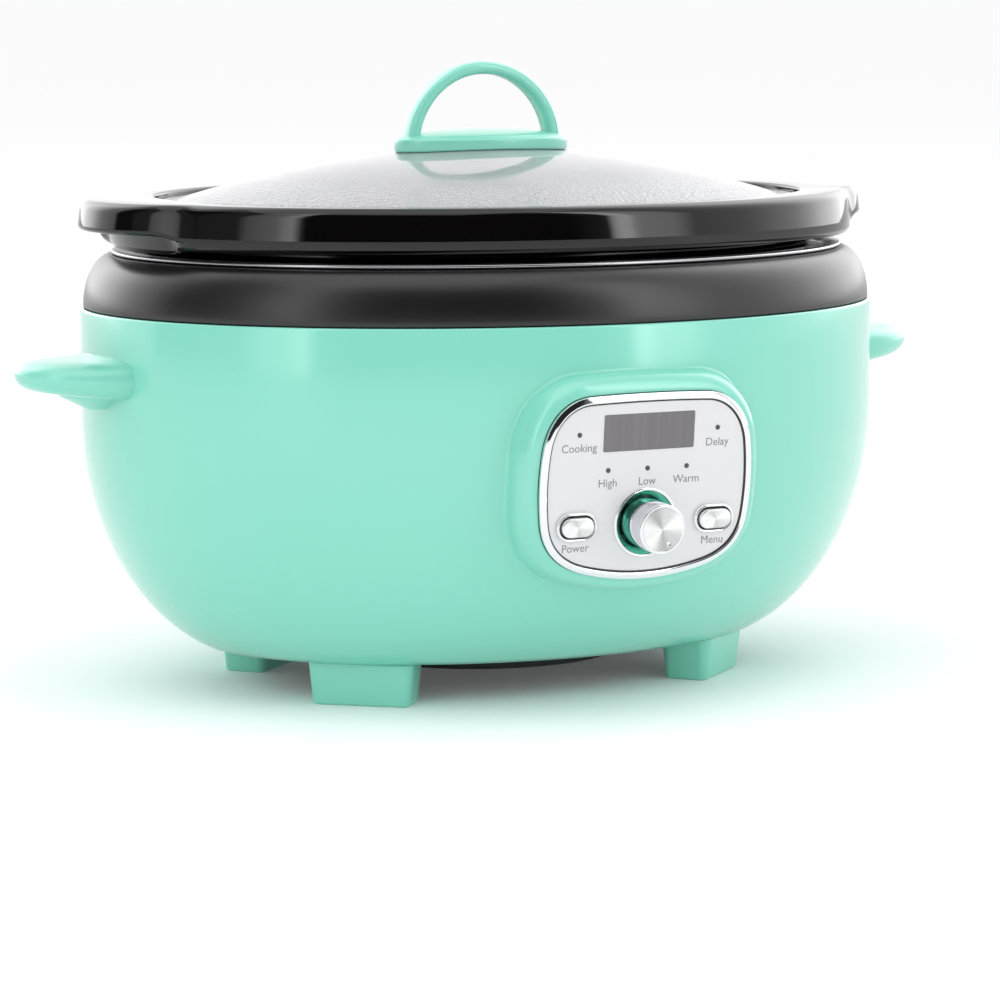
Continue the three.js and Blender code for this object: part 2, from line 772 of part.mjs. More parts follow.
function lidKnob() {
  const edge = knobBaseBottom + knobBaseEdge;
  const part = (share, z) => [knobBaseHalfLength * share, knobBaseHalfWidth * share, z];
  const base = ovalSolid([
    [0, 0, knobBaseBottom],
    part(0.97, knobBaseBottom),
    part(1, knobBaseBottom + 1.2),
    part(1, edge - 1.2),
    part(0.96, edge),
    part(0.7, edge + knobBaseDome * 0.55),
    part(0.4, edge + knobBaseDome * 0.87),
    [0, 0, knobDomeTop],
  ]);
  const archBottom = knobBaseBottom + knobBaseEdge / 2;
  const archRise = knobDomeTop + loopRise - archBottom;
  const arch = new THREE.Shape()
    .moveTo(loopHalfWidth, 0)
    .absellipse(0, 0, loopHalfWidth, archRise, 0, Math.PI)
    .lineTo(-loopHalfWidth + loopBand, 0)
    .absellipse(0, 0, loopHalfWidth - loopBand, archRise - loopBand, Math.PI, 0, true);
  const loop = softPrism(arch, -loopDepth / 2, loopDepth / 2, loopRound, 14)
    .rotateX(Math.PI / 2).translate(0, 0, archBottom);
  const glass = ovalSolid([
    [0, 0, lidBottom],
    [lidHalfLength, lidHalfWidth, lidBottom],
    ...lidDome(pieceGap).reverse(),
  ]);
  const screwHole = bar(lidScrewRadius + screwGap, lidBottom, knobBaseBottom + knobBaseEdge);
  return cut(join(base, loop), glass, screwHole);
}

function lidWasher() {
  const top = lidTop - lidThickness - pieceGap - lidWasherRelief;
  return turned([
    [lidScrewRadius + screwGap, top - lidWasherThickness],
    [lidWasherRadius, top - lidWasherThickness],
    [lidWasherRadius, top],
    [lidScrewRadius + screwGap, top],
    [lidScrewRadius + screwGap, top - lidWasherThickness],
  ], 16);
}

const lidScrewSeat = lidTop - lidThickness - 2 * pieceGap - lidWasherRelief - lidWasherThickness;

// ---------------------------------------------------------------- panel pieces

function panelFace() {
  const lensHoles = lensPlaces.map(([, x, y]) => ellipse(x, y, lensRadius + pieceGap, lensRadius + pieceGap));
  const display = displayOutline(pieceGap);
  const knobHole = ellipse(0, controlRowY, knobRingRadius + slideGap, knobRingRadius + slideGap);
  const buttonHoles = [-1, 1].map((side) => (
    stadium(side * buttonX, controlRowY, buttonHalfWidth + slideGap, buttonHalfHeight + slideGap)));
  const holes = [display, knobHole, ...lensHoles, ...buttonHoles];
  return pierced(faceOutline(-pieceGap), holes, -faceThickness, 0);
}

function displayOutline(grow) {
  return new THREE.Shape()
    .moveTo(-displayHalfWidth - grow, displayY - displayHalfHeight - grow)
    .lineTo(displayHalfWidth + grow, displayY - displayHalfHeight - grow)
    .lineTo(displayHalfWidth + grow, displayY + displayHalfHeight + grow)
    .lineTo(-displayHalfWidth - grow, displayY + displayHalfHeight + grow)
    .closePath();
}

const lensPlaces = [
  ['cooking', -outerLensX, displayY],
  ['delay', outerLensX, displayY],
  ['high', -innerLensX, innerLensY],
  ['low', 0, innerLensY],
  ['warm', innerLensX, innerLensY],
];

function bezel() {
  return pierced(faceOutline(bezelWidth), [faceOutline(0)], bezelBottom, bezelProud);
}

// A dished ring that the knob stands in
function knobRing() {
  const inner = knobRadius + slideGap;
  return turned([
    [inner, -knobRingDepth],
    [knobRingRadius, -knobRingDepth],
    [knobRingRadius, knobFaceRound],
    [knobRingRadius - knobRingWidth, knobFaceRound],
    [inner + knobRingLand, -knobRingDepth + knobRingFloor],
    [inner, -knobRingDepth + knobRingFloor],
    [inner, -knobRingDepth],
  ], 24);
}

const shaftTop = knobProud - knobRingDepth;
const shaftBottom = shaftTop - shaftInKnob - boardDepth + encoderDepth / 2;

function knobCap() {
  const back = -knobSink;
  return turned([
    [shaftRadius + pieceGap, back],
    [knobRadius, back],
    [knobRadius, knobProud - knobFaceRound],
    [knobRadius - knobFaceRound, knobProud],
    [0, knobProud],
    [0, shaftTop + pieceGap],
    [shaftRadius + pieceGap, shaftTop + pieceGap],
    [shaftRadius + pieceGap, back],
  ], 24);
}

function encoderBody() {
  const top = -boardDepth + pieceGap + encoderDepth;
  const block = box(encoderSize, encoderSize, encoderDepth, 0, 0, top - encoderDepth / 2);
  return cut(block, bar(shaftRadius + slideGap, shaftBottom - pieceGap, top + 1));
}

function buttonRing() {
  const outer = stadium(0, 0, buttonHalfWidth + buttonRingWidth, buttonHalfHeight + buttonRingWidth);
  const inner = stadium(0, 0, buttonHalfWidth + slideGap, buttonHalfHeight + slideGap);
  return pierced(outer, [inner], pieceGap, pieceGap + buttonRingProud);
}

const switchTop = -boardDepth + pieceGap + switchDepth;

function buttonCap() {
  const outline = stadium(0, 0, buttonHalfWidth, buttonHalfHeight);
  const cap = softPrism(outline, -faceThickness, buttonProud, buttonEdge, 6);
  const stemBottom = switchTop + buttonTravel + pieceGap;
  return join(cap, bar(buttonStemRadius, stemBottom, 0, 0, 0, 12));
}

function boardCover() {
  const outer = faceOutline(-boardMargin + coverWall + slideGap);
  const inner = faceOutline(-boardMargin + slideGap);
  return cut(
    prism(outer, -coverDepth, -boardDepth + switchDepth),
    prism(inner, -coverDepth + coverWall, 1));
}

function displayModule() {
  const width = 2 * (displayHalfWidth + displayMargin);
  const height = 2 * (displayHalfHeight + displayMargin);
  const top = -faceThickness - pieceGap;
  return box(width, height, displayDepth, 0, displayY, top - displayDepth / 2);
}

const boardOutline = faceOutline(-boardMargin);
panel.add(
  piece('panel_bezel', bezel(), materials.chrome),
  piece('panel_face', panelFace(), materials.silverFace),
  piece('display_window', prism(displayOutline(0), -faceThickness, -displaySink), materials.lcd),
  piece('display_module', displayModule(), materials.plastic),
  piece('control_board', prism(boardOutline, -boardDepth - boardThickness, -boardDepth), materials.board),
  piece('board_cover', boardCover(), materials.plastic),
);
for (const [name, x, y] of lensPlaces) {
  panel.add(piece(`lens_${name}`, bar(lensRadius, -faceThickness, lensProud, x, y, 12), materials.lens));
}

const knobGroup = new THREE.Group();
knobGroup.position.set(0, controlRowY, 0);
knobGroup.add(
  piece('knob_ring', knobRing(), materials.chrome),
  piece('knob_cap', knobCap(), materials.chrome),
  piece('knob_shaft', bar(shaftRadius, shaftBottom, shaftTop), materials.steel),
  piece('encoder_body', encoderBody(), materials.plastic),
);
panel.add(knobGroup);

for (const [name, side] of [['power', -1], ['menu', 1]]) {
  const group = new THREE.Group();
  group.position.set(side * buttonX, controlRowY, 0);
  const switchBody = box(switchSize, switchSize, switchDepth, 0, 0, switchTop - switchDepth / 2);
  group.add(
    piece(`${name}_button_ring`, buttonRing(), materials.chrome),
    piece(`${name}_button`, buttonCap(), materials.chrome),
    piece(`${name}_switch`, switchBody, materials.plastic),
  );
  panel.add(group);
}

// ---------------------------------------------------------------- base and power parts

function cordGland() {
  const wall = wallHalfWidthAt(glandHeight);
  const flangeStart = wall + glandStandOff;
  const profile = [
    [glandBoreRadius, wall - glandInside],
    [glandRadius, wall - glandInside],
    [glandRadius, flangeStart],
    [glandFlangeRadius, flangeStart],
    [glandFlangeRadius, flangeStart + glandFlangeThickness],
    [glandBoreRadius, flangeStart + glandFlangeThickness],
    [glandBoreRadius, wall - glandInside],
  ];
  return turned(profile, 16).rotateX(-Math.PI / 2).translate(0, 0, glandHeight);
}

function powerParts() {
  const boardBottom = basePlateTop + powerBoardLift;
  const boardTop = boardBottom + boardThickness;
  const [relayLength, relayWidth, relayHeight] = relaySize;
  const sensorTop = linerFloor - pieceGap;
  const board = box(
    powerBoardHalfLength * 2, powerBoardHalfWidth * 2, boardThickness,
    0, 0, boardBottom + boardThickness / 2);
  const relay = box(
    relayLength, relayWidth, relayHeight,
    -relayLength / 2, 0, boardTop + pieceGap + relayHeight / 2);
  const sensor = bar(sensorRadius, shieldTop + pieceGap, sensorTop);
  const fuse = crossBar(fuseRadius, fuseX, fuseX + fuseLength, 0, sensorTop - fuseRadius);
  return [
    piece('power_board', board, materials.board),
    piece('relay', relay, materials.plastic),
    piece('temperature_sensor', sensor, materials.ceramic),
    piece('thermal_fuse', fuse, materials.ceramic),
  ];
}

// ---------------------------------------------------------------- assembly

const cooker = new THREE.Group();
cooker.add(
  piece('outer_shell', outerShell(), materials.glossMint),
  piece('collar_ring', collarRing(), materials.satinBlack),
  piece('heating_liner', heatingLiner(), materials.liner),
  piece('heater_band', heaterBand(), materials.ceramic),
  piece('heat_shield', heatShield(), materials.steel),
  piece('base_plate', basePlate(), materials.satinBlack),
  piece('cord_gland', cordGland(), materials.plastic),
  piece('crock', crock(), materials.crockGlaze),
  piece('lid_glass', lidGlass(), materials.glass),
  piece('lid_knob', lidKnob(), materials.satinMint),
  piece('lid_washer', lidWasher(), materials.silicone),
  ...powerParts(),
  panel,
);

const lidScrewLength = knobBaseBottom + knobBaseEdge - 2 * screwGap - lidScrewSeat;
const lidScrewBody = screw(lidScrewRadius, lidScrewHeadRadius, lidScrewHeadHeight, lidScrewLength);
const lidScrew = piece('lid_screw', lidScrewBody, materials.steel);
lidScrew.position.z = lidScrewSeat;
cooker.add(lidScrew);

for (const [name, side] of [['left', -1], ['right', 1]]) {
  const handle = piece(`side_handle_${name}`, sideHandle(), materials.satinMint);
  handle.rotation.z = side < 0 ? Math.PI : 0;
  cooker.add(handle);
  for (const [place, along] of [['front', -1], ['rear', 1]]) {
    const body = screw(screwRadius, screwHeadRadius, screwHeadHeight, screwLength);
    const fastener = piece(`handle_screw_${name}_${place}`, body, materials.steel);
    fastener.rotation.y = side * Math.PI / 2;
    fastener.position.set(...handleScrewPlace(side, along));
    cooker.add(fastener);
  }
}

for (const { side, front } of footPlaces) {
  const name = `foot_${front < 0 ? 'front' : 'rear'}_${side < 0 ? 'left' : 'right'}`;
  const leg = piece(name, foot(), materials.satinMint);
  leg.rotation.z = footAngle(side, front);
  leg.position.set(side * footOutX, front * footOutY, 0);
  cooker.add(leg);
}

baseScrewPlaces().forEach(([x, y], i) => {
  const body = screw(screwRadius, screwHeadRadius, screwHeadHeight, screwLength);
  const fastener = piece(`base_screw_${i + 1}`, body, materials.steel);
  fastener.position.set(x, y, basePlateTop - basePlateThickness - pieceGap);
  cooker.add(fastener);
});

// The origin lies under the middle of everything, though the knob reaches further than the gland
const reach = new THREE.Box3().setFromObject(cooker, true);
cooker.position.y = -(reach.min.y + reach.max.y) / 2;

export default cooker;
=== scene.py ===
# Slow cooker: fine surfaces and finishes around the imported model. Metres, +Z up, the panel faces -Y.
import json
import math
import bpy
from mathutils import Matrix, Vector


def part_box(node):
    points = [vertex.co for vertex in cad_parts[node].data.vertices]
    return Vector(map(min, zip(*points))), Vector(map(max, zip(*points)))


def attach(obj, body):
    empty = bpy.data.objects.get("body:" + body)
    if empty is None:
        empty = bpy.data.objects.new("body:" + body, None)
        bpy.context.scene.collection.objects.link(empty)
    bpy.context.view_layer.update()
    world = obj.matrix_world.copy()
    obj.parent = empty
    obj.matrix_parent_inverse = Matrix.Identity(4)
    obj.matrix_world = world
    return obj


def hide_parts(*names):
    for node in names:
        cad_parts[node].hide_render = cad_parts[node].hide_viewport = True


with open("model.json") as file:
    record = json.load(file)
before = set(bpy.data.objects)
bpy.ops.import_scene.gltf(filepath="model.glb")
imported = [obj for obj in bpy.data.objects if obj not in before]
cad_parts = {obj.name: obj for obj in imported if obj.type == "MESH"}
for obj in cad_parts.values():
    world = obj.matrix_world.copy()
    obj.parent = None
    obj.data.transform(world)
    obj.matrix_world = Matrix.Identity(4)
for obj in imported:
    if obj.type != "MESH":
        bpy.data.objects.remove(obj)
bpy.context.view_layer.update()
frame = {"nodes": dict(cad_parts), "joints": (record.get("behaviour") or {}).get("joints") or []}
nodes = frame["nodes"]
mm = 0.001
print("model loaded:", len(nodes), "nodes")

# camera

cameraSettings = {"place": (-0.7517, -1.4767, 0.2885), "tilt": 82.573, "turn": -27.09, "lens": 144.64}


def makeCamera(settings):
    data = bpy.data.cameras.new("camera")
    data.sensor_width = 36
    data.lens = settings["lens"]
    camera = bpy.data.objects.new("camera", data)
    camera.location = settings["place"]
    camera.rotation_euler = (math.radians(settings["tilt"]), 0, math.radians(settings["turn"]))
    bpy.context.scene.collection.objects.link(camera)
    bpy.context.scene.camera = camera


makeCamera(cameraSettings)

# where things are, taken from the model

collarLow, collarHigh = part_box("collar_ring")
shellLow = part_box("outer_shell")[0]
crockLow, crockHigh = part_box("crock")
lidLow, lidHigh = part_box("lid_glass")
linerLow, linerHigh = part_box("heating_liner")
middleY = (collarLow.y + collarHigh.y) / 2
collarStep = 1.25 * mm
bodyLength = (collarHigh.x - collarLow.x) / 2 + collarStep  # half the oval
bodyWidth = (collarHigh.y - collarLow.y) / 2 + collarStep
wallCurve = {"top": shellLow.z + 94 * mm, "reach": 72 * mm, "drop": 100 * mm}


def wallInset(z):
    down = min(max(wallCurve["top"] - z, 0) / wallCurve["drop"], 1)
    return wallCurve["reach"] * (1 - math.sqrt(1 - down * down))


def onOval(halfLength, halfWidth, angle, z):
    return Vector((halfLength * math.cos(angle), middleY + halfWidth * math.sin(angle), z))


# the control panel leans: x to the right, y up and z out of its face

knobJoint = next(joint for joint in frame["joints"] if joint["name"] == "knob_turn")
panelOut = Vector(knobJoint["axis"]).normalized()
panelUp = panelOut.cross(Vector((1, 0, 0)))
controlRow = -15.6 * mm
panelMiddle = Vector(knobJoint["pos_m"]) - panelUp * controlRow
panelMatrix = Matrix.Translation(panelMiddle) @ Matrix((
    (1, panelUp.x, panelOut.x), (0, panelUp.y, panelOut.y), (0, panelUp.z, panelOut.z))).to_4x4()


def onPanel(x, y, z):
    return panelMatrix @ Vector((x, y, z))


# mesh helpers

def meshObject(name, points, faces, material, smoothAngle=40):
    mesh = bpy.data.meshes.new(name)
    mesh.from_pydata(points, [], faces)
    mesh.validate()
    mesh.shade_smooth()
    mesh.set_sharp_from_angle(angle=math.radians(smoothAngle))
    mesh.materials.append(material)
    piece = bpy.data.objects.new(name, mesh)
    bpy.context.scene.collection.objects.link(piece)
    return piece


# a line through corners, each with its own rounding radius
def roundedLine(corners, steps, loop):
    count = len(corners)
    line = []
    for i, (corner, radius) in enumerate(corners):
        if radius <= 0 or (not loop and i in (0, count - 1)):
            line.append(Vector(corner))
            continue
        before = corners[i - 1][0] - corner
        after = corners[(i + 1) % count][0] - corner
        halfAngle = max(before.angle(after) / 2, 0.01)
        reach = min(radius / math.tan(halfAngle), before.length * 0.48, after.length * 0.48)
        start = corner + before.normalized() * reach
        end = corner + after.normalized() * reach
        weight = math.sin(halfAngle)
        for k in range(steps + 1):
            t = k / steps
            a, b, c = (1 - t) ** 2, 2 * t * (1 - t) * weight, t * t
            line.append((start * a + corner * b + end * c) / (a + b + c))
    return line


# joins lines of equal length side by side, all the way round; with poles, their ends meet in two points
def joinLines(name, lines, material, poles=False, smoothAngle=40):
    turns = len(lines)
    points = []
    faces = []
    if poles:
        lines = [line[1:-1] for line in lines] + [[lines[0][0], lines[0][-1]]]
    span = len(lines[0])
    for line in lines:
        points += line
    for i in range(turns):
        j = (i + 1) % turns
        for k in range(span - (1 if poles else 0)):
            n = (k + 1) % span
            faces.append((i * span + k, j * span + k, j * span + n, i * span + n))
        if poles:
            faces.append((turns * span, j * span, i * span))
            faces.append((turns * span + 1, i * span + span - 1, j * span + span - 1))
    return meshObject(name, points, faces, material, smoothAngle)


# an oval solid from corners of half length, half width, height and rounding
def ovalSolid(name, outline, material, turns=160, arcSteps=5, poles=True, smoothAngle=40):
    lines = []
    for i in range(turns):
        angle = 2 * math.pi * i / turns
        corners = [(onOval(a, b, angle, z), radius) for a, b, z, radius in outline]
        lines.append(roundedLine(corners, arcSteps, not poles))
    return joinLines(name, lines, material, poles, smoothAngle)


def inset(distance, z, radius=0.0):
    return (bodyLength - distance, bodyWidth - distance, z, radius)


# a turned solid standing on a plane, from corners of radius, height and rounding
def turnedSolid(name, outline, material, place, turns=64, arcSteps=4, poles=True, smoothAngle=40):
    lines = []
    for i in range(turns):
        c, s = math.cos(2 * math.pi * i / turns), math.sin(2 * math.pi * i / turns)
        corners = [(Vector((r * c, r * s, z)), radius) for r, z, radius in outline]
        lines.append([place @ point for point in roundedLine(corners, arcSteps, not poles)])
    return joinLines(name, lines, material, poles, smoothAngle)


# faces between rings of count points each; with loop, the last ring meets the first
def ringFaces(rings, count, loop):
    faces = []
    for k in range(rings if loop else rings - 1):
        n = (k + 1) % rings
        for i in range(count):
            j = (i + 1) % count
            faces.append((k * count + i, k * count + j, n * count + j, n * count + i))
    return faces


# a solid whose plan is an outline that grows and shrinks with height
def outlineSolid(name, outlineAt, levels, material, place, loop=False, smoothAngle=40):
    rings = [[place @ Vector((x, y, z)) for x, y in outlineAt(grow)] for grow, z in levels]
    count = len(rings[0])
    points = [point for ring in rings for point in ring]
    faces = ringFaces(len(rings), count, loop)
    if not loop:
        for start, ring in ((0, rings[0]), ((len(rings) - 1) * count, rings[-1])):
            points.append(sum(ring, Vector()) / count)
            for i in range(count):
                j = (i + 1) % count
                corners = (start + i, start + j, len(points) - 1)
                faces.append(corners if start else corners[::-1])
    piece = meshObject(name, points, faces, material, smoothAngle)
    return faceOutwards(piece)


def faceOutwards(piece):
    mesh = piece.data
    mesh.calc_loop_triangles()
    volume = 0
    for triangle in mesh.loop_triangles:
        a, b, c = (mesh.vertices[k].co for k in triangle.vertices)
        volume += a.dot(b.cross(c))
    if volume < 0:
        mesh.flip_normals()
    return piece


# rounded levels for outlineSolid: soft edges of radius edge from bottom to top
def softLevels(bottom, top, edge, steps=5, flat=0.0):
    levels = [(-edge - flat, bottom)] if flat else []
    for k in range(steps + 1):
        angle = math.pi / 2 * k / steps
        levels.append((-edge * (1 - math.sin(angle)), bottom + edge * (1 - math.cos(angle))))
    for k in range(steps + 1):
        angle = math.pi / 2 * k / steps
        levels.append((-edge * (1 - math.cos(angle)), top - edge * (1 - math.sin(angle))))
    return levels + ([(-edge - flat, top)] if flat else [])


# levels for outlineSolid from corners of growth, height and rounding
def roundedLevels(corners, steps=6):
    line = roundedLine([(Vector((grow, z, 0)), radius) for grow, z, radius in corners], steps, False)
    return [(point.x, point.y) for point in line]


def stadium(halfWidth, halfHeight, steps=12):
    def outline(grow):
        radius = halfHeight + grow
        straight = halfWidth - halfHeight
        points = []
        for side in (1, -1):
            for k in range(steps + 1):
                angle = math.pi * k / steps - math.pi / 2
                points.append((side * (straight + radius * math.cos(angle)), side * radius * math.sin(angle)))
        return points
    return outline


def roundedRectangle(halfWidth, halfHeight, corner, steps=6):
    def outline(grow):
        radius = max(corner + grow, 0.02 * mm)
        points = []
        for turn, (sx, sy) in enumerate(((1, -1), (1, 1), (-1, 1), (-1, -1))):
            x = sx * (halfWidth + grow - radius)
            y = sy * (halfHeight + grow - radius)
            for k in range(steps + 1):
                angle = math.pi / 2 * (turn - 1 + k / steps)
                points.append((x + radius * math.cos(angle), y + radius * math.sin(angle)))
        return points
    return outline


def joinedPieces(name, parts):
    context = {"active_object": parts[0], "object": parts[0], "selected_objects": parts,
               "selected_editable_objects": parts}
    with bpy.context.temp_override(**context):
        bpy.ops.object.join()
    parts[0].name = name
    return parts[0]


# turns a modifier's result into a plain mesh
def bakedPiece(piece, name, smoothAngle=30):
    graph = bpy.context.evaluated_depsgraph_get()
    mesh = bpy.data.meshes.new_from_object(piece.evaluated_get(graph), depsgraph=graph)
    mesh.name = name
    bpy.data.objects.remove(piece)
    mesh.shade_smooth()
    mesh.set_sharp_from_angle(angle=math.radians(smoothAngle))
    finished = bpy.data.objects.new(name, mesh)
    bpy.context.scene.collection.objects.link(finished)
    return finished


# shader helpers

def addNode(tree, kind, **settings):
    node = tree.nodes.new(kind)
    for key, value in settings.items():
        setattr(node, key, value)
    return node


# gives a node's sockets their values; another node's output is linked
def fill(node, **values):
    for key, value in values.items():
        socket = node.inputs[key.replace("_", " ")]
        if isinstance(value, bpy.types.NodeSocket):
            node.id_data.links.new(value, socket)
        else:
            socket.default_value = value
    return node


def mathNode(tree, operation, first, second=None):
    node = addNode(tree, "ShaderNodeMath", operation=operation)
    for socket, value in zip(node.inputs, (first, second)):
        if isinstance(value, (int, float)):
            socket.default_value = value
        elif value is not None:
            tree.links.new(value, socket)
    return node.outputs[0]


def makeGroup(name, inputs, outputs):
    group = bpy.data.node_groups.new(name, "ShaderNodeTree")
    for label, kind, value in inputs:
        socket = group.interface.new_socket(name=label, in_out="INPUT", socket_type="NodeSocket" + kind)
        socket.default_value = value
    for label, kind in outputs:
        group.interface.new_socket(name=label, in_out="OUTPUT", socket_type="NodeSocket" + kind)
    return group, group.nodes.new("NodeGroupInput"), group.nodes.new("NodeGroupOutput")


# moulded and painted surfaces: slow drift in colour, fine grain, and roughness that varies with handling
def mouldedGroup():
    tree, given, result = makeGroup("mouldedSurface", [
        ("Colour", "Color", (0.5, 0.5, 0.5, 1)), ("Drift", "Float", 0.05), ("Grain Scale", "Float", 900),
        ("Grain Depth", "Float", 0.05), ("Roughness", "Float", 0.4), ("Roughness Spread", "Float", 0.05)],
        [("Colour", "Color"), ("Roughness", "Float"), ("Normal", "Vector")])
    place = addNode(tree, "ShaderNodeTexCoord").outputs["Object"]
    slow = fill(addNode(tree, "ShaderNodeTexNoise"), Scale=9, Detail=3)
    smear = fill(addNode(tree, "ShaderNodeTexNoise"), Scale=38, Detail=5, Roughness=0.62)
    grain = fill(addNode(tree, "ShaderNodeTexNoise"), Detail=2)
    for texture in (slow, smear, grain):
        fill(texture, Vector=place)
    fill(grain, Scale=given.outputs["Grain Scale"])
    swing = mathNode(tree, "SUBTRACT", slow.outputs["Fac"], 0.5)
    change = mathNode(tree, "MULTIPLY_ADD", swing, given.outputs["Drift"])
    change.node.inputs[2].default_value = 1
    tint = addNode(tree, "ShaderNodeVectorMath", operation="SCALE")
    tree.links.new(given.outputs["Colour"], tint.inputs[0])
    fill(tint, Scale=change)
    rough = mathNode(tree, "MULTIPLY", mathNode(tree, "SUBTRACT", smear.outputs["Fac"], 0.5),
                     given.outputs["Roughness Spread"])
    bump = fill(addNode(tree, "ShaderNodeBump"), Distance=0.0002)
    fill(bump, Height=grain.outputs["Fac"], Strength=given.outputs["Grain Depth"])
    fill(result, Colour=tint.outputs["Vector"], Roughness=mathNode(tree, "ADD", rough, given.outputs["Roughness"]),
         Normal=bump.outputs["Normal"])
    return tree


# spun metal: painted reflection as light and dark sectors around a centre in the base colour, with fine turning rings
def turnedReflectionGroup():
    tree, given, result = makeGroup("turnedRingsPaintedReflection", [
        ("Place", "Vector", (0, 0, 0)), ("Light", "Float", 0.9), ("Dark", "Float", 0.5), ("Sectors", "Float", 3),
        ("Turn", "Float", 0), ("Roughness", "Float", 0.25)],
        [("Colour", "Color"), ("Roughness", "Float"), ("Normal", "Vector")])
    split = addNode(tree, "ShaderNodeSeparateXYZ")
    tree.links.new(given.outputs["Place"], split.inputs[0])
    angle = mathNode(tree, "ARCTAN2", split.outputs["Y"], split.outputs["X"])
    turned = mathNode(tree, "ADD", angle, given.outputs["Turn"])
    wave = mathNode(tree, "SINE", mathNode(tree, "MULTIPLY", turned, given.outputs["Sectors"]))
    second = mathNode(tree, "SINE", mathNode(tree, "MULTIPLY", angle, 5))
    mixed = mathNode(tree, "ADD", mathNode(tree, "MULTIPLY", wave, 0.38), mathNode(tree, "MULTIPLY", second, 0.14))
    share = mathNode(tree, "ADD", mixed, 0.5)
    shade = addNode(tree, "ShaderNodeMapRange")
    fill(shade, Value=share, To_Min=given.outputs["Dark"], To_Max=given.outputs["Light"])
    colour = addNode(tree, "ShaderNodeCombineColor")
    for channel in ("Red", "Green", "Blue"):
        tree.links.new(shade.outputs["Result"], colour.inputs[channel])
    radius = addNode(tree, "ShaderNodeVectorMath", operation="LENGTH")
    tree.links.new(given.outputs["Place"], radius.inputs[0])
    rings = mathNode(tree, "SINE", mathNode(tree, "MULTIPLY", radius.outputs["Value"], 26000))
    bump = fill(addNode(tree, "ShaderNodeBump"), Strength=0.06, Distance=0.0001)
    fill(bump, Height=rings)
    fill(result, Colour=colour.outputs[0])
    tree.links.new(mathNode(tree, "ADD", mathNode(tree, "MULTIPLY", rings, 0.03), given.outputs["Roughness"]),
                   result.inputs["Roughness"])
    fill(result, Normal=bump.outputs["Normal"])
    return tree


mouldedSurface = mouldedGroup()
turnedRingsPaintedReflection = turnedReflectionGroup()


def linearColour(red, green, blue):
    return tuple(((v / 255 + 0.055) / 1.055) ** 2.4 if v > 10 else v / 255 / 12.92 for v in (red, green, blue)) + (1,)


def startMaterial(name):
    material = bpy.data.materials.new(name)
    material.use_nodes = True
    return material, material.node_tree, material.node_tree.nodes["Principled BSDF"]


def linkSurface(tree, group, shader):
    for output, socket in (("Colour", "Base Color"), ("Roughness", "Roughness"), ("Normal", "Normal")):
        tree.links.new(group.outputs[output], shader.inputs[socket])


def mouldedMaterial(name, colour, drift=0.05, grainScale=900, grainDepth=0.05, roughness=0.4, spread=0.05,
                    **shaderValues):
    material, tree, shader = startMaterial(name)
    group = addNode(tree, "ShaderNodeGroup", node_tree=mouldedSurface)
    fill(group, Colour=linearColour(*colour), Drift=drift, Grain_Scale=grainScale, Grain_Depth=grainDepth,
         Roughness=roughness, Roughness_Spread=spread)
    linkSurface(tree, group, shader)
    fill(shader, **shaderValues)
    return material


def panelPlace(tree, x, y):
    coordinates = addNode(tree, "ShaderNodeTexCoord")
    mapping = addNode(tree, "ShaderNodeMapping", vector_type="TEXTURE")
    fill(mapping, Location=onPanel(x, y, 0), Rotation=panelMatrix.to_euler(), Vector=coordinates.outputs["Object"])
    return mapping.outputs["Vector"]


# metal whose base colour carries painted reflection sectors around the control's centre
def turnedReflectionMaterial(name, x, y, light, dark, sectors, turn, roughness):
    material, tree, shader = startMaterial(name)
    group = addNode(tree, "ShaderNodeGroup", node_tree=turnedRingsPaintedReflection)
    fill(group, Light=light, Dark=dark, Sectors=sectors, Turn=turn, Roughness=roughness)
    fill(group, Place=panelPlace(tree, x, y))
    linkSurface(tree, group, shader)
    fill(shader, Metallic=0.75)
    return material


# glass with a hammered band near its edge
def glassMaterial(name, settings):
    material, tree, shader = startMaterial(name)
    coordinates = addNode(tree, "ShaderNodeTexCoord")
    streaks = fill(addNode(tree, "ShaderNodeMapping"), Scale=(1, 1, 2.2))
    texture = fill(addNode(tree, "ShaderNodeTexNoise"), Scale=settings["pitch"], Detail=1.5)
    bump = fill(addNode(tree, "ShaderNodeBump"), Distance=0.0006)
    height = addNode(tree, "ShaderNodeSeparateXYZ")
    band = addNode(tree, "ShaderNodeMapRange", interpolation_type="SMOOTHSTEP")
    fill(band, From_Min=settings["fadeTop"], From_Max=settings["fadeBottom"], To_Max=settings["depth"])
    fill(streaks, Vector=coordinates.outputs["Object"])
    tree.links.new(coordinates.outputs["Object"], height.inputs[0])
    fill(band, Value=height.outputs["Z"])
    fill(texture, Vector=streaks.outputs["Vector"])
    fill(bump, Height=texture.outputs["Fac"], Strength=band.outputs["Result"])
    fill(shader, Normal=bump.outputs["Normal"])
    fill(shader, Base_Color=linearColour(*settings["colour"]), Roughness=settings["roughness"], IOR=1.5,
         Transmission_Weight=settings["clear"])
    return material


# display: smoked pane with faint upright streaks
def displayMaterial(name, settings):
    material, tree, shader = startMaterial(name)
    stretch = fill(addNode(tree, "ShaderNodeMapping"), Scale=(420, 9, 1))
    noise = fill(addNode(tree, "ShaderNodeTexNoise"), Scale=1, Detail=3)
    ramp = addNode(tree, "ShaderNodeValToRGB")
    ramp.color_ramp.elements[0].position = 0.3
    ramp.color_ramp.elements[0].color = linearColour(*settings["dark"])
    ramp.color_ramp.elements[1].position = 0.75
    ramp.color_ramp.elements[1].color = linearColour(*settings["light"])
    fill(stretch, Vector=panelPlace(tree, 0, 0))
    fill(noise, Vector=stretch.outputs["Vector"])
    fill(ramp, Fac=noise.outputs["Fac"])
    fill(shader, Base_Color=ramp.outputs["Color"])
    fill(shader, Roughness=0.28, Specular_IOR_Level=0.25)
    return material


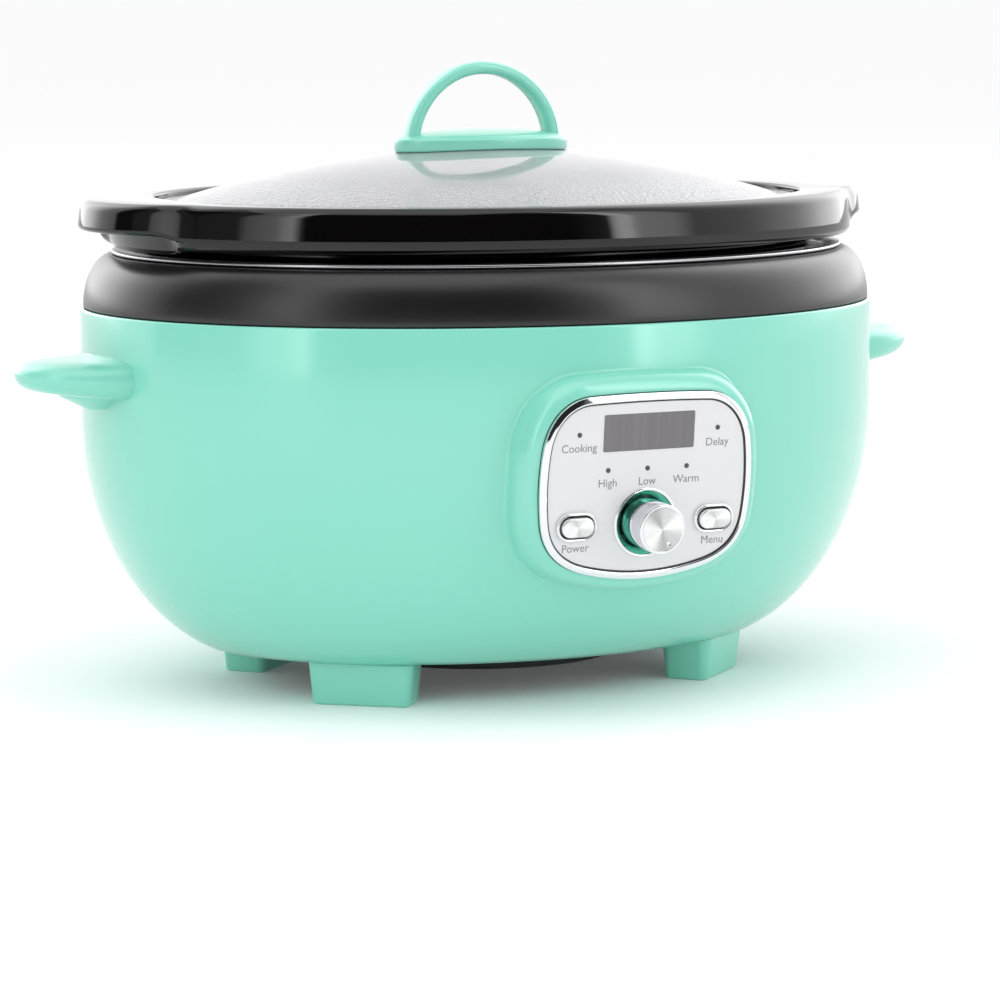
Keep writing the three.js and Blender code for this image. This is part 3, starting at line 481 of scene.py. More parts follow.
finishes = {
    "shell": mouldedMaterial("glossMint", (128, 211, 191), drift=0.04, grainScale=260, grainDepth=0.02,
                             roughness=0.26, spread=0.06, Coat_Weight=0.7, Coat_Roughness=0.09),
    "trim": mouldedMaterial("satinMint", (128, 211, 191), drift=0.05, grainScale=2200, grainDepth=0.12,
                            roughness=0.36, spread=0.08, Coat_Weight=0.6, Coat_Roughness=0.12),
    "collar": mouldedMaterial("satinBlack", (20, 18, 19), drift=0.2, grainScale=1800, grainDepth=0.14,
                              roughness=0.31, spread=0.08, Specular_IOR_Level=0.62),
    "glaze": mouldedMaterial("blackGlaze", (6, 5, 6), drift=0.4, grainScale=60, grainDepth=0.2,
                             roughness=0.05, spread=0.03),
    "liner": mouldedMaterial("linerMetal", (172, 172, 174), drift=0.1, grainScale=700, grainDepth=0.1,
                             roughness=0.24, spread=0.12, Metallic=1),
    "steel": mouldedMaterial("plainSteel", (186, 188, 190), drift=0.12, grainScale=900, grainDepth=0.1,
                             roughness=0.34, spread=0.12, Metallic=1),
    "chrome": mouldedMaterial("polishedChrome", (232, 233, 236), drift=0.03, grainScale=500, grainDepth=0.01,
                              roughness=0.07, spread=0.03, Metallic=1),
    "face": mouldedMaterial("silverFace", (219, 219, 221), drift=0.03, grainScale=2600, grainDepth=0.1,
                            roughness=0.34, spread=0.05, Metallic=0.12),
    "underside": mouldedMaterial("blackPlastic", (26, 26, 28), drift=0.2, grainScale=1600, grainDepth=0.3,
                                 roughness=0.55, spread=0.12),
    "board": mouldedMaterial("greenBoard", (34, 92, 58), drift=0.3, grainScale=1200, grainDepth=0.2,
                             roughness=0.45, spread=0.1),
    "ceramic": mouldedMaterial("heaterCeramic", (222, 218, 206), drift=0.12, grainScale=1100, grainDepth=0.4,
                               roughness=0.7, spread=0.1),
    "silicone": mouldedMaterial("clearSilicone", (226, 229, 229), drift=0.05, grainScale=1500, grainDepth=0.1,
                                roughness=0.5, spread=0.08),
    # painted reflection: the mint body as seen in the chrome dish, put into the dish's colour
    "paintedMintReflection": mouldedMaterial("dishPaintedMintReflection", (84, 178, 152), drift=0.2, grainScale=900, grainDepth=0.02,
                            roughness=0.16, spread=0.05, Metallic=0.7),
    "ink": mouldedMaterial("greyInk", (128, 128, 130), drift=0.1, grainScale=3000, grainDepth=0.05,
                           roughness=0.5, spread=0.05),
    "lens": mouldedMaterial("smokedLens", (72, 72, 76), drift=0.2, grainScale=1500, grainDepth=0.02,
                            roughness=0.15, spread=0.05),
    # painted shade: a dark band for the shadowed gap between the chrome frame and the silver plate
    "groove": mouldedMaterial("grooveShade", (34, 33, 35), drift=0.2, grainScale=1500, grainDepth=0.05,
                              roughness=0.3, spread=0.1),
    "display": displayMaterial("displayPane", {"dark": (112, 110, 112), "light": (122, 120, 122)}),
    "glass": glassMaterial("lidGlass", {"colour": (226, 226, 230), "roughness": 0.02, "clear": 0.6,
                                        "pitch": 620, "depth": 0.9, "fadeTop": lidHigh.z - 8 * mm,
                                        "fadeBottom": lidLow.z + 8 * mm}),
}
print("finishes made:", len(finishes))


def place(piece, body, slot, *replaced):
    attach(piece, body)
    if replaced:
        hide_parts(*replaced)
    return piece


# the inner parts keep their shape and get a finish
innerFinishes = {
    "ceramic": ["heater_band", "temperature_sensor", "thermal_fuse"],
    "steel": ["heat_shield", "knob_shaft", "handle_screw_left_front", "handle_screw_left_rear",
              "handle_screw_right_front", "handle_screw_right_rear"],
    "board": ["power_board", "control_board"],
    "underside": ["relay", "display_module", "board_cover", "encoder_body", "power_switch", "menu_switch"],
}
for finish, names in innerFinishes.items():
    for name in names:
        nodes[name].data.materials.clear()
        nodes[name].data.materials.append(finishes[finish])

# shell: a flat bottom, curved walls and a thin lip

shell = {"wall": 2 * mm, "openingInset": 78 * mm, "curveSteps": 26, "lip": 0.9 * mm}


def makeShell(settings):
    bottom, top, wall = shellLow.z, collarLow.z + 6 * mm - 0.3 * mm, settings["wall"]

    def curve(thick):
        low = bottom + thick
        start = math.asin((wallCurve["top"] - low) / (wallCurve["drop"] - thick))
        points = []
        for k in range(settings["curveSteps"] + 1):
            angle = start * (1 - k / settings["curveSteps"])
            distance = thick + (wallCurve["reach"] - thick) * (1 - math.cos(angle))
            points.append(inset(distance, wallCurve["top"] - (wallCurve["drop"] - thick) * math.sin(angle)))
        return points

    outline = [inset(settings["openingInset"], bottom, 0.6 * mm), *curve(0)]
    outline += [inset(0, top, settings["lip"]), inset(wall, top, 0.4 * mm), *reversed(curve(wall))]
    outline += [inset(settings["openingInset"], bottom + wall, 0.6 * mm)]
    return ovalSolid("housing_shell", outline, finishes["shell"], turns=220, arcSteps=4, poles=False)


place(makeShell(shell), "housing", "shell", "outer_shell")

# panel pad: a raised land that flows into the wall

faceShape = {"halfWidth": 43.4 * mm, "halfHeight": 31.6 * mm, "corner": 17 * mm, "bowTop": 0.5 * mm,
             "bowSide": 1 * mm, "bowBottom": 3.2 * mm, "softness": 0.45}


def bezier(points, steps):
    curve = []
    for k in range(steps):
        t = k / steps
        level = [Vector(p) for p in points]
        while len(level) > 1:
            level = [a.lerp(b, t) for a, b in zip(level, level[1:])]
        curve.append((level[0].x, level[0].y))
    return curve


def faceOutline(grow, steps=16):
    s = faceShape
    w = s["halfWidth"] - s["bowSide"] + grow
    h = s["halfHeight"] + grow
    r = s["corner"] + grow
    reach = (1 - s["softness"]) * r
    side = reach * 2 * s["bowSide"] / (h - r)
    top = reach * 2 * s["bowTop"] / (w - r)
    bottom = reach * 2 * s["bowBottom"] / (w - r)
    stretches = [
        ((-w + r, h), (0, h + 2 * s["bowTop"]), (w - r, h)),
        ((w - r, h), (w - r + reach, h - top), (w - side, h - r + reach), (w, h - r)),
        ((w, h - r), (w + 2 * s["bowSide"], 0), (w, -h + r)),
        ((w, -h + r), (w - side, -h + r - reach), (w - r + reach, -h + bottom), (w - r, -h)),
        ((w - r, -h), (0, -h - 2 * s["bowBottom"]), (-w + r, -h)),
        ((-w + r, -h), (-w + r - reach, -h + bottom), (-w + side, -h + r - reach), (-w, -h + r)),
        ((-w, -h + r), (-w - 2 * s["bowSide"], 0), (-w, h - r)),
        ((-w, h - r), (-w + side, h - r + reach), (-w + r - reach, h - top), (-w + r, h)),
    ]
    return [point for stretch in stretches for point in bezier(stretch, steps)]


# how far behind the face plane the wall lies
def wallDepth(x, y):
    depth = -7 * mm
    for _ in range(8):
        point = onPanel(x, y, depth)
        distance = wallInset(point.z)
        wallY = middleY - (bodyWidth - distance) * math.sqrt(1 - (x / (bodyLength - distance)) ** 2)
        depth += (point.y - wallY) / -panelOut.y
    return depth


pad = {"pocket": 3.4 * mm, "front": -1.5 * mm, "round": 7 * mm, "power": 2.1, "flare": 3 * mm, "sink": 0.2 * mm,
       "steps": 14, "flareSteps": 5}


def makePad(settings):
    s = settings
    inner = faceOutline(s["pocket"])
    outer = faceOutline(s["pocket"] + s["round"])
    depths = [wallDepth(x, y) for x, y in outer]
    rings = [[(x, y, -6 * mm) for x, y in inner], [(x, y, s["front"]) for x, y in inner]]
    for k in range(1, s["steps"] + 1):
        angle = math.radians(80) * k / s["steps"]
        across = math.sin(angle) ** (2 / s["power"])
        down = 1 - math.cos(angle) ** (2 / s["power"])
        ring = faceOutline(s["pocket"] + s["round"] * across)
        rings.append([(x, y, s["front"] + (depth - s["front"]) * down) for (x, y), depth in zip(ring, depths)])
    last = rings[-1]
    for k in range(1, s["flareSteps"] + 1):
        share = k / s["flareSteps"]
        spread = s["flare"] * (1 - math.sqrt(1 - share * share))
        ring = []
        for x, y, z in last:
            length = math.hypot(x, y)
            px, py = x * (1 + spread / length), y * (1 + spread / length)
            target = wallDepth(px, py) - s["sink"] * share
            ring.append((px, py, z + (target - z) * math.sin(share * math.pi / 2)))
        rings.append(ring)
    rings.append([(x, y, z - 1.5 * mm) for x, y, z in rings[-1]])
    rings.append([(x, y, under[2]) for (x, y), under in zip(inner, rings[-1])])
    count = len(inner)
    points = [onPanel(*point) for ring in rings for point in ring]
    faces = ringFaces(len(rings), count, True)
    return faceOutwards(meshObject("panel_pad", points, faces, finishes["shell"], 60))


place(makePad(pad), "housing", "shell")

# collar, liner edge and liner

collar = {"shoulder": 13.2 * mm, "skirt": 6 * mm, "thick": 2.6 * mm, "steps": 14, "inner": 19.7 * mm,
          "skirtOuter": 3.85 * mm, "skirtInner": 6.45 * mm}


def makeCollar(settings):
    bottom, top = collarLow.z + settings["skirt"], collarHigh.z
    outline = [inset(collarStep, bottom, 0.5 * mm)]
    for k in range(1, settings["steps"] + 1):
        angle = math.pi / 2 * k / settings["steps"]
        distance = collarStep + (settings["shoulder"] - collarStep) * (1 - math.cos(angle))
        outline.append(inset(distance, bottom + (top - bottom) * math.sin(angle)))
    outline += [inset(settings["inner"], top, 0.6 * mm), inset(settings["inner"], top - settings["thick"])]
    for k in range(settings["steps"], -1, -1):
        angle = math.pi / 2 * k / settings["steps"]
        distance = settings["skirtInner"] + (settings["shoulder"] - collarStep) * (1 - math.cos(angle))
        outline.append(inset(distance, bottom + (top - bottom - settings["thick"]) * math.sin(angle)))
    outline += [inset(settings["skirtInner"], collarLow.z), inset(settings["skirtOuter"], collarLow.z),
                inset(settings["skirtOuter"], bottom)]
    return ovalSolid("black_collar", outline, finishes["collar"], turns=200, arcSteps=3, poles=False)


place(makeCollar(collar), "housing", "collar", "collar_ring")

liner = {"ringInset": 12.8 * mm, "wallInset": 20 * mm, "draft": 6 * mm, "metal": 1.2 * mm, "corner": 15 * mm,
         "bead": 0.7 * mm}


def makeLiner(settings):
    low, high, metal = linerLow.z, linerHigh.z, settings["metal"]
    under = high - 1.5 * mm
    foot = settings["wallInset"] + settings["draft"]
    outline = [
        (0, 0, low, 0),
        inset(foot, low, settings["corner"]),
        inset(settings["wallInset"], under, 1.2 * mm),
        inset(settings["ringInset"], under, settings["bead"]),
        inset(settings["ringInset"], high, settings["bead"]),
        inset(settings["wallInset"] + metal, high, 2 * mm),
        inset(foot + metal, low + metal, settings["corner"]),
        (0, 0, low + metal, 0),
    ]
    return ovalSolid("heated_liner", outline, finishes["liner"], turns=180, arcSteps=6)


place(makeLiner(liner), "housing", "liner", "heating_liner")

# crock: a glazed pot with a deep rim that swells into two lugs

crock = {"topInset": 26.2 * mm, "draft": 6 * mm, "wall": 9.5 * mm, "corner": 14 * mm, "floor": 8 * mm,
         "rimLength": 163 * mm, "rimWidth": 120 * mm, "rimHeight": 18 * mm, "rimRound": 4.5 * mm,
         "lugLength": 36 * mm, "lugWidth": 45 * mm, "lugHeight": 12 * mm, "lugTuck": 5 * mm,
         "blend": 5 * mm, "lugRamp": 5 * mm, "lidGap": 1.5 * mm, "recess": 6.5 * mm, "lean": 1.5 * mm,
         "turns": 240}


def makeCrock(settings):
    s = settings
    bottom, top = crockLow.z, crockHigh.z
    seat = top - s["recess"]
    rimBottom = top - s["rimHeight"]
    lugX = crockHigh.x - s["lugLength"]
    lidLength = lidHigh.x + s["lidGap"]
    lidWidth = (lidHigh.y - lidLow.y) / 2 + s["lidGap"]
    topA, topB = bodyLength - s["topInset"], bodyWidth - s["topInset"]
    lowA, lowB = topA - s["draft"], topB - s["draft"]

    def lugReach(direction):
        # where a ray from the middle leaves the lug's ellipse
        dx, dy = abs(direction.x) / s["lugLength"], abs(direction.y) / s["lugWidth"]
        cx = lugX / s["lugLength"]
        a, b, c = dx * dx + dy * dy, -2 * dx * cx, cx * cx - 1
        inside = b * b - 4 * a * c
        return (-b + math.sqrt(inside)) / (2 * a) if inside > 0 else 0

    def profile(angle):
        rim = Vector((s["rimLength"] * math.cos(angle), s["rimWidth"] * math.sin(angle), 0))
        direction = rim.normalized()
        rimReach = rim.length
        lug = lugReach(direction)
        spare = (lug - rimReach) / s["blend"]
        reach = rimReach + s["blend"] * math.log1p(math.exp(min(spare * 3, 30))) / 3
        share = min(max((reach - rimReach) / s["lugRamp"], 0), 1)
        share = share * share * (3 - 2 * share)
        tuck = rimReach - share * s["lugTuck"]

        def out(distance, z, radius):
            point = direction * distance
            return (Vector((point.x, middleY + point.y, z)), radius)

        faceLow = top - s["lugHeight"] - (1 - share) * 2 * mm
        return [
            (Vector((0, middleY, bottom)), 0),
            (onOval(lowA, lowB, angle, bottom), s["corner"]),
            (onOval(topA, topB, angle, rimBottom + 1 * mm), 2 * mm),
            out(tuck - 1.5 * mm, rimBottom - 2.4 * mm * share, 1.6 * mm),
            out(tuck, rimBottom + (2.2 - 2.4 * share) * mm, 1 * mm),
            out(tuck + 2 * mm * share, faceLow - 0.4 * mm, 1.2 * mm),
            out(reach - 1.2 * mm * share, faceLow, 2.6 * mm),
            out(reach, faceLow + 1.4 * mm, 1.5 * mm),
            out(reach - s["lean"], top, s["rimRound"]),
            (onOval(lidLength, lidWidth, angle, top), 1.2 * mm),
            (onOval(lidLength, lidWidth, angle, seat), 0.5 * mm),
            (onOval(topA - s["wall"], topB - s["wall"], angle, seat), 3 * mm),
            (onOval(lowA - s["wall"], lowB - s["wall"], angle, bottom + s["floor"]), s["corner"]),
            (Vector((0, middleY, bottom + s["floor"])), 0),
        ]

    lines = [roundedLine(profile(2 * math.pi * i / s["turns"]), 6, False) for i in range(s["turns"])]
    return joinLines("glazed_crock", lines, finishes["glaze"], poles=True, smoothAngle=50)


place(makeCrock(crock), "crock", "glaze", "crock")

# lid: a thin dome with a flat flange, hammered on its underside near the edge

lid = {"flange": 6 * mm, "thick": 4 * mm, "rise": 21.2 * mm, "power": 1.75, "underSteps": 60, "topSteps": 24,
       "hole": 2.9 * mm, "turns": 560, "hammerDepth": 0.16 * mm, "hammerStart": 0.5, "edge": 1.3 * mm}
lidHalf = Vector((lidHigh.x, (lidHigh.y - lidLow.y) / 2))


# the lid's upper surface, at a share of its size
def lidTopAt(share):
    soft = min(share / (1 - lid["flange"] / lidHalf.x), 1)
    return lidLow.z + lid["thick"] + lid["rise"] * (1 - soft ** lid["power"])


def makeLid(settings):
    s = settings
    domeShare = 1 - s["flange"] / lidHalf.x
    first = s["hole"] / lidHalf.x
    lines = []
    for i in range(s["turns"]):
        angle = 2 * math.pi * i / s["turns"]

        def at(share, z):
            return onOval(share * lidHalf.x, share * lidHalf.y, angle, z)

        line = []
        for k in range(s["underSteps"] + 1):
            share = first + (domeShare - first) * k / s["underSteps"]
            z = lidTopAt(share) - s["thick"]
            if share > s["hammerStart"] and k < s["underSteps"]:
                fade = min((share - s["hammerStart"]) / 0.2, 1)
                z += s["hammerDepth"] * fade * (1 if (i + k) % 2 else -1)
            line.append(at(share, z))
        edgeTop = lidLow.z + s["thick"]
        corners = [(line[-1], 0), (at(1, lidLow.z), s["edge"]), (at(1, edgeTop), s["edge"]),
                   (at(domeShare, edgeTop), 0)]
        line += roundedLine(corners, 4, False)[1:]
        for k in range(s["topSteps"] - 1, -1, -1):
            share = first + (domeShare - first) * k / s["topSteps"]
            line.append(at(share, lidTopAt(share)))
        lines.append(line)
    return joinLines("domed_lid", lines, finishes["glass"], smoothAngle=50)


place(faceOutwards(makeLid(lid)), "lid", "glass", "lid_glass")

# lid knob: an oval base with a loop

knobLow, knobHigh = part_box("lid_knob")
lidKnob = {"baseEdge": 6 * mm, "dome": 3.6 * mm, "band": 5.3 * mm, "depth": 10 * mm, "setBack": 3.7 * mm,
           "section": 20, "steps": 72, "squareness": 0.62, "sink": 2.6 * mm, "turns": 96}


def makeKnobBase(settings):
    s = settings
    halfLength, halfWidth = knobHigh.x, (knobHigh.y - knobLow.y) / 2
    edge = lidHigh.z - s["sink"] + s["baseEdge"]

    def lineAt(angle):
        def at(share, z=None):
            point = onOval(halfLength * share, halfWidth * share, angle, 0)
            onGlass = math.hypot(point.x / lidHalf.x, (point.y - middleY) / lidHalf.y)
            point.z = lidTopAt(onGlass) + 0.1 * mm if z is None else z
            return point

        corners = [(at(0), 0), (at(0.5), 0), (at(0.85), 0), (at(1), 0.8 * mm), (at(1, edge), 2.2 * mm)]
        for k in range(1, 11):
            turn = math.pi / 2 * k / 10
            corners.append((at(0.94 * math.cos(turn) if k < 10 else 0, edge + s["dome"] * math.sin(turn)), 0))
        return roundedLine(corners, 5, False)

    lines = [lineAt(2 * math.pi * i / s["turns"]) for i in range(s["turns"])]
    return joinLines("knob_base", lines, finishes["trim"], poles=True)


def makeLoop(settings):
    s = settings
    bottom = lidHigh.z - s["sink"] + s["baseEdge"] / 2
    halfSpan = knobHigh.x - s["setBack"] - s["band"] / 2
    rise = knobHigh.z - s["band"] / 2 - bottom
    lines = []
    for k in range(s["section"]):
        angle = 2 * math.pi * k / s["section"]
        c, t = math.cos(angle), math.sin(angle)
        across = math.copysign(abs(c) ** s["squareness"], c) * s["band"] / 2
        deep = math.copysign(abs(t) ** s["squareness"], t) * s["depth"] / 2
        line = []
        for i in range(s["steps"] + 1):
            turn = math.pi * i / s["steps"]
            direction = Vector((math.cos(turn) * rise, 0, math.sin(turn) * halfSpan)).normalized()
            point = Vector((halfSpan * math.cos(turn), middleY + deep, bottom + rise * math.sin(turn)))
            line.append(point + direction * across)
        ends = [Vector((side * halfSpan, middleY, bottom)) for side in (1, -1)]
        lines.append([ends[0], *line, ends[1]])
    return faceOutwards(joinLines("knob_loop", lines, finishes["trim"], poles=True, smoothAngle=60))


place(makeKnobBase(lidKnob), "lid", "trim", "lid_knob")
place(makeLoop(lidKnob), "lid", "trim")

washer = {"bore": 2.9 * mm, "thick": 1.5 * mm, "boreSoft": 0.3 * mm, "soft": 0.5 * mm}
washerLow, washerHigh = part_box("lid_washer")


def makeWasher(settings):
    bore, thick = settings["bore"], settings["thick"]
    outline = [(bore, 0, settings["boreSoft"]), (washerHigh.x, 0, settings["soft"]),
               (washerHigh.x, thick, settings["soft"]), (bore, thick, settings["boreSoft"])]
    where = Matrix.Translation((0, middleY, washerLow.z))
    return turnedSolid("silicone_washer", outline, finishes["silicone"], where, poles=False)


place(makeWasher(washer), "lid", "silicone", "lid_washer")

print("body, crock and lid made")

# side handles: a flat lobe with soft edges on a small brace

handle = {"rootInset": 6 * mm, "reach": 34.5 * mm, "halfWidth": 28 * mm, "root": 8 * mm, "tip": 5.5 * mm,
          "topEdge": 13 * mm, "edge": 7.5 * mm, "power": 0.9, "crown": 0.4 * mm, "tipRise": 1.8 * mm, "turns": 96,
          "rings": 24, "braceReach": 23.5 * mm, "braceWidth": 17 * mm, "braceDrop": 5 * mm, "braceTaper": 12 * mm,
          "behind": 0.12}


def makeHandle(name, side, settings):
    s = settings
    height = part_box("side_handle_" + name)[1].z - s["root"]
    rootX = bodyLength - s["rootInset"]
    length = s["rootInset"] + s["reach"]

    # the part behind the wall stays short, clear of the liner
    def outside(angle):
        return math.cos(angle) * (1 if math.cos(angle) > 0 else s["behind"])

    def lobe(angle, shrink, level):
        a, b = length - shrink, s["halfWidth"] - shrink
        x = a * outside(angle)
        along = min(max(x / length, 0), 1)
        half = s["root"] + (s["tip"] - s["root"]) * along
        rise = s["tipRise"] * along ** 2
        return Vector((side * (rootX + x), middleY + b * math.sin(angle), height + rise + half * level))

    levels = []
    for k in range(s["rings"] + 1):
        turn = math.pi * k / s["rings"] - math.pi / 2
        edge = s["topEdge"] if turn > 0 else s["edge"]
        shrink = edge * (1 - math.cos(turn) ** s["power"]) if abs(turn) < 1.57 else edge
        levels.append((shrink, math.copysign(abs(math.sin(turn)) ** s["power"], turn)))
    centre = Vector((side * (rootX + length * 0.2), middleY, height))
    lines = []
    for i in range(s["turns"]):
        angle = 2 * math.pi * i / s["turns"]
        ring = [lobe(angle, shrink, level) for shrink, level in levels]
        near = [ring[0].lerp(centre, share) for share in (0.75, 0.5, 0.25)]
        far = [ring[-1].lerp(centre, share) for share in (0.25, 0.5, 0.75)]
        for points, sign in ((near, -1), (far, 1)):
            for point in points:
                along = min(max((abs(point.x) - rootX) / length, 0), 1)
                point.z = height + s["tipRise"] * along ** 2
                point.z += sign * (s["root"] + (s["tip"] - s["root"]) * along + s["crown"] * 0.5)
        bottomPole = Vector((centre.x, centre.y, height - s["root"] + 0.2 * (s["root"] - s["tip"])))
        topPole = Vector((centre.x, centre.y, height + s["root"] - 0.2 * (s["root"] - s["tip"]) + s["crown"]))
        lines.append([bottomPole, *near, *ring, *far, topPole])
    body = faceOutwards(joinLines("handle_lobe", lines, finishes["trim"], poles=True, smoothAngle=60))

    def braceOutline(grow):
        a, b = s["braceReach"] + grow, s["braceWidth"] + grow
        turns = [2 * math.pi * k / 64 for k in range(64)]
        return [(side * a * outside(turn), side * b * math.sin(turn)) for turn in turns]

    where = Matrix.Translation((side * rootX, middleY, height))
    bottom, reach = -s["root"] - s["braceDrop"], s["braceTaper"]
    levels = roundedLevels([(-reach - 4 * mm, bottom, 0), (-reach, bottom, 3 * mm),
                            (0, -s["root"] + 1 * mm, 3 * mm), (0, 0, 0)])
    brace = outlineSolid("handle_brace", braceOutline, levels, finishes["trim"], where, smoothAngle=60)
    return joinedPieces("carry_handle_" + name, [body, brace])


for name, side in (("left", -1), ("right", 1)):
    place(makeHandle(name, side, handle), "housing", "trim", "side_handle_" + name)

# feet: tapered blocks with soft edges

foot = {"depth": 22 * mm, "width": 39.8 * mm, "draft": 1.9 * mm, "corner": 5 * mm, "edge": 1.2 * mm,
        "turn": 50.1, "endInset": 86.65 * mm, "sideInset": 78.25 * mm}


def makeFoot(name, side, front, settings):
    s = settings
    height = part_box(name)[1].z
    turn = math.radians(s["turn"])
    angle = math.atan2(front * math.sin(turn), side * math.cos(turn))
    middle = Vector((side * (bodyLength - s["endInset"]), middleY + front * (bodyWidth - s["sideInset"]), 0))
    where = Matrix.Translation(middle) @ Matrix.Rotation(angle, 4, "Z")
    where = where @ Matrix.Translation((s["draft"] - s["depth"] / 2, 0, 0))
    outline = roundedRectangle(s["depth"] / 2, s["width"] / 2 + s["draft"], s["corner"], 8)
    levels = []
    for grow, z in softLevels(0, height, s["edge"], 5, flat=2 * mm):
        levels.append((grow - s["draft"] * (1 - z / height), z))
    return outlineSolid("rubbered_" + name, outline, levels, finishes["trim"], where)


for front, frontName in ((-1, "front"), (1, "rear")):
    for side, sideName in ((-1, "left"), (1, "right")):
        name = f"foot_{frontName}_{sideName}"
        place(makeFoot(name, side, front, foot), "housing", "trim", name)
print("handles and feet made")

# control panel

bezel = {"width": 3.2 * mm, "bottom": -1.2 * mm, "top": 0.95 * mm, "groove": 0.45 * mm, "crest": 1.0 * mm,
         "outer": 0.05 * mm}
# a dark band of painted shade in the gap under the chrome frame's inner edge
frameGrooveShade = {"inner": -0.25 * mm, "outer": 0.5 * mm, "low": -0.3 * mm, "high": 0.03 * mm}


def makeBezel(settings):
    s = settings
    corners = [(0, s["bottom"], 0), (s["width"], s["bottom"], 0), (s["width"], s["outer"], 0.3 * mm),
               (s["width"] * 0.6, s["top"] * 0.72, 2 * mm), (s["crest"], s["top"], 0.45 * mm),
               (s["groove"], s["top"] * 0.75, 0.2 * mm), (s["groove"], -0.1 * mm, 0)]
    return outlineSolid("chrome_frame", faceOutline, roundedLevels(corners), finishes["chrome"], panelMatrix,
                        loop=True, smoothAngle=50)


def makeGrooveShade(settings):
    inner, outer, low, high = (settings[key] for key in ("inner", "outer", "low", "high"))
    levels = [(inner, low), (outer, low), (outer, high), (inner, high)]
    return outlineSolid("frame_groove_shade", faceOutline, levels, finishes["groove"], panelMatrix, loop=True)


place(makeBezel(bezel), "housing", "chrome", "panel_bezel")
place(makeGrooveShade(frameGrooveShade), "housing", "underside")

controls = {"knobRadius": 9.85 * mm, "knobProud": 14.1 * mm, "knobRound": 0.9 * mm, "ringRadius": 13.9 * mm,
            "ringWidth": 1.3 * mm, "ringProud": 0.8 * mm, "dishDepth": 3.2 * mm, "buttonX": 30.3 * mm,
            "buttonWidth": 7 * mm, "buttonHeight": 3.85 * mm, "buttonProud": 2.5 * mm, "buttonRing": 2 * mm,
            "plate": 1.5 * mm, "plateGap": 0.2 * mm}
knobPlace = panelMatrix @ Matrix.Translation((0, controlRow, 0))


def makePlate(settings):
    s = settings
    levels = softLevels(-s["plate"], 0, s["plateGap"], 3, flat=1.5 * mm)
    plate = outlineSolid("silver_plate", lambda grow: faceOutline(grow - s["plateGap"]), levels, finishes["face"],
                         panelMatrix, smoothAngle=30)
    hole, reach = s["ringRadius"] - 0.4 * mm, 6 * mm
    cutters = [turnedSolid("hole", [(0, -reach, 0), (hole, -reach, 0), (hole, reach, 0), (0, reach, 0)],
                           finishes["face"], knobPlace, turns=72)]
    for side in (-1, 1):
        where = knobPlace @ Matrix.Translation((side * s["buttonX"], 0, 0))
        levels = [(0.6 * mm, -reach), (0.6 * mm, reach)]
        cutters.append(outlineSolid("hole", stadium(s["buttonWidth"], s["buttonHeight"]), levels,
                                    finishes["face"], where))
    cutter = joinedPieces("hole", cutters)
    modifier = plate.modifiers.new("holes", "BOOLEAN")
    modifier.object = cutter
    modifier.solver = "EXACT"
    finished = bakedPiece(plate, "silver_plate")
    bpy.data.objects.remove(cutter)
    return finished


place(makePlate(controls), "housing", "face", "panel_face")

display = {"y": 20.3 * mm, "halfWidth": 20 * mm, "halfHeight": 7.3 * mm, "corner": 0.8 * mm, "border": 0.6 * mm}


def makeDisplay(settings):
    s = settings
    where = panelMatrix @ Matrix.Translation((0, s["y"], 0))
    outline = roundedRectangle(s["halfWidth"], s["halfHeight"], s["corner"], 5)
    pane = outlineSolid("display_pane", outline, softLevels(-0.6 * mm, 0.1 * mm, 0.08 * mm, 3, flat=0.5 * mm),
                        finishes["display"], where)
    levels = [(0, -0.3 * mm), (s["border"], -0.3 * mm), (s["border"], 0.1 * mm), (s["border"] * 0.5, 0.2 * mm),
              (0, 0.12 * mm)]
    border = outlineSolid("display_border", outline, levels, finishes["face"], where, loop=True)
    return pane, border


pane, border = makeDisplay(display)
place(pane, "housing", "display", "display_window")
place(border, "housing", "face")

lenses = {"lens_cooking": (-30.4, 20.3), "lens_delay": (30.4, 20.3), "lens_high": (-17.3, 5.8),
          "lens_low": (0, 5.8), "lens_warm": (17.3, 5.8)}
for name, (x, y) in lenses.items():
    where = panelMatrix @ Matrix.Translation((x * mm, y * mm, 0))
    dome = [(0, -1 * mm, 0), (1 * mm, -1 * mm, 0), (1 * mm, 0.2 * mm, 0.15 * mm), (0.5 * mm, 0.32 * mm, 0.2 * mm),
            (0, 0.34 * mm, 0)]
    place(turnedSolid("indicator_" + name[5:], dome, finishes["lens"], where, turns=32), "housing", "lens", name)

labels = {"size": 4.5 * mm, "proud": 0.05 * mm, "words": {
    "Cooking": (-30.4, 15.0), "Delay": (30.4, 14.6), "High": (-17.3, 0.7), "Low": (0, 0.7),
    "Warm": (17.3, 0.7), "Power": (-30.3, -24.2), "Menu": (30.3, -24.4)}}


def makeLabels(settings):
    words = []
    for word, (x, y) in settings["words"].items():
        text = bpy.data.curves.new(word, "FONT")
        text.body = word
        text.size = settings["size"]
        text.extrude = settings["proud"]
        text.align_x = "CENTER"
        text.align_y = "CENTER"
        text.resolution_u = 3
        piece = bpy.data.objects.new(word, text)
        bpy.context.scene.collection.objects.link(piece)
        baked = bakedPiece(piece, word)
        baked.data.transform(panelMatrix @ Matrix.Translation((x * mm, y * mm, 0)))
        baked.data.materials.clear()
        baked.data.materials.append(finishes["ink"])
        words.append(baked)
    return joinedPieces("panel_labels", words)


place(makeLabels(labels), "housing", "lens")

dimple = {"radius": 1.5 * mm, "depth": 0.5 * mm, "out": 6.3 * mm, "turn": -62}


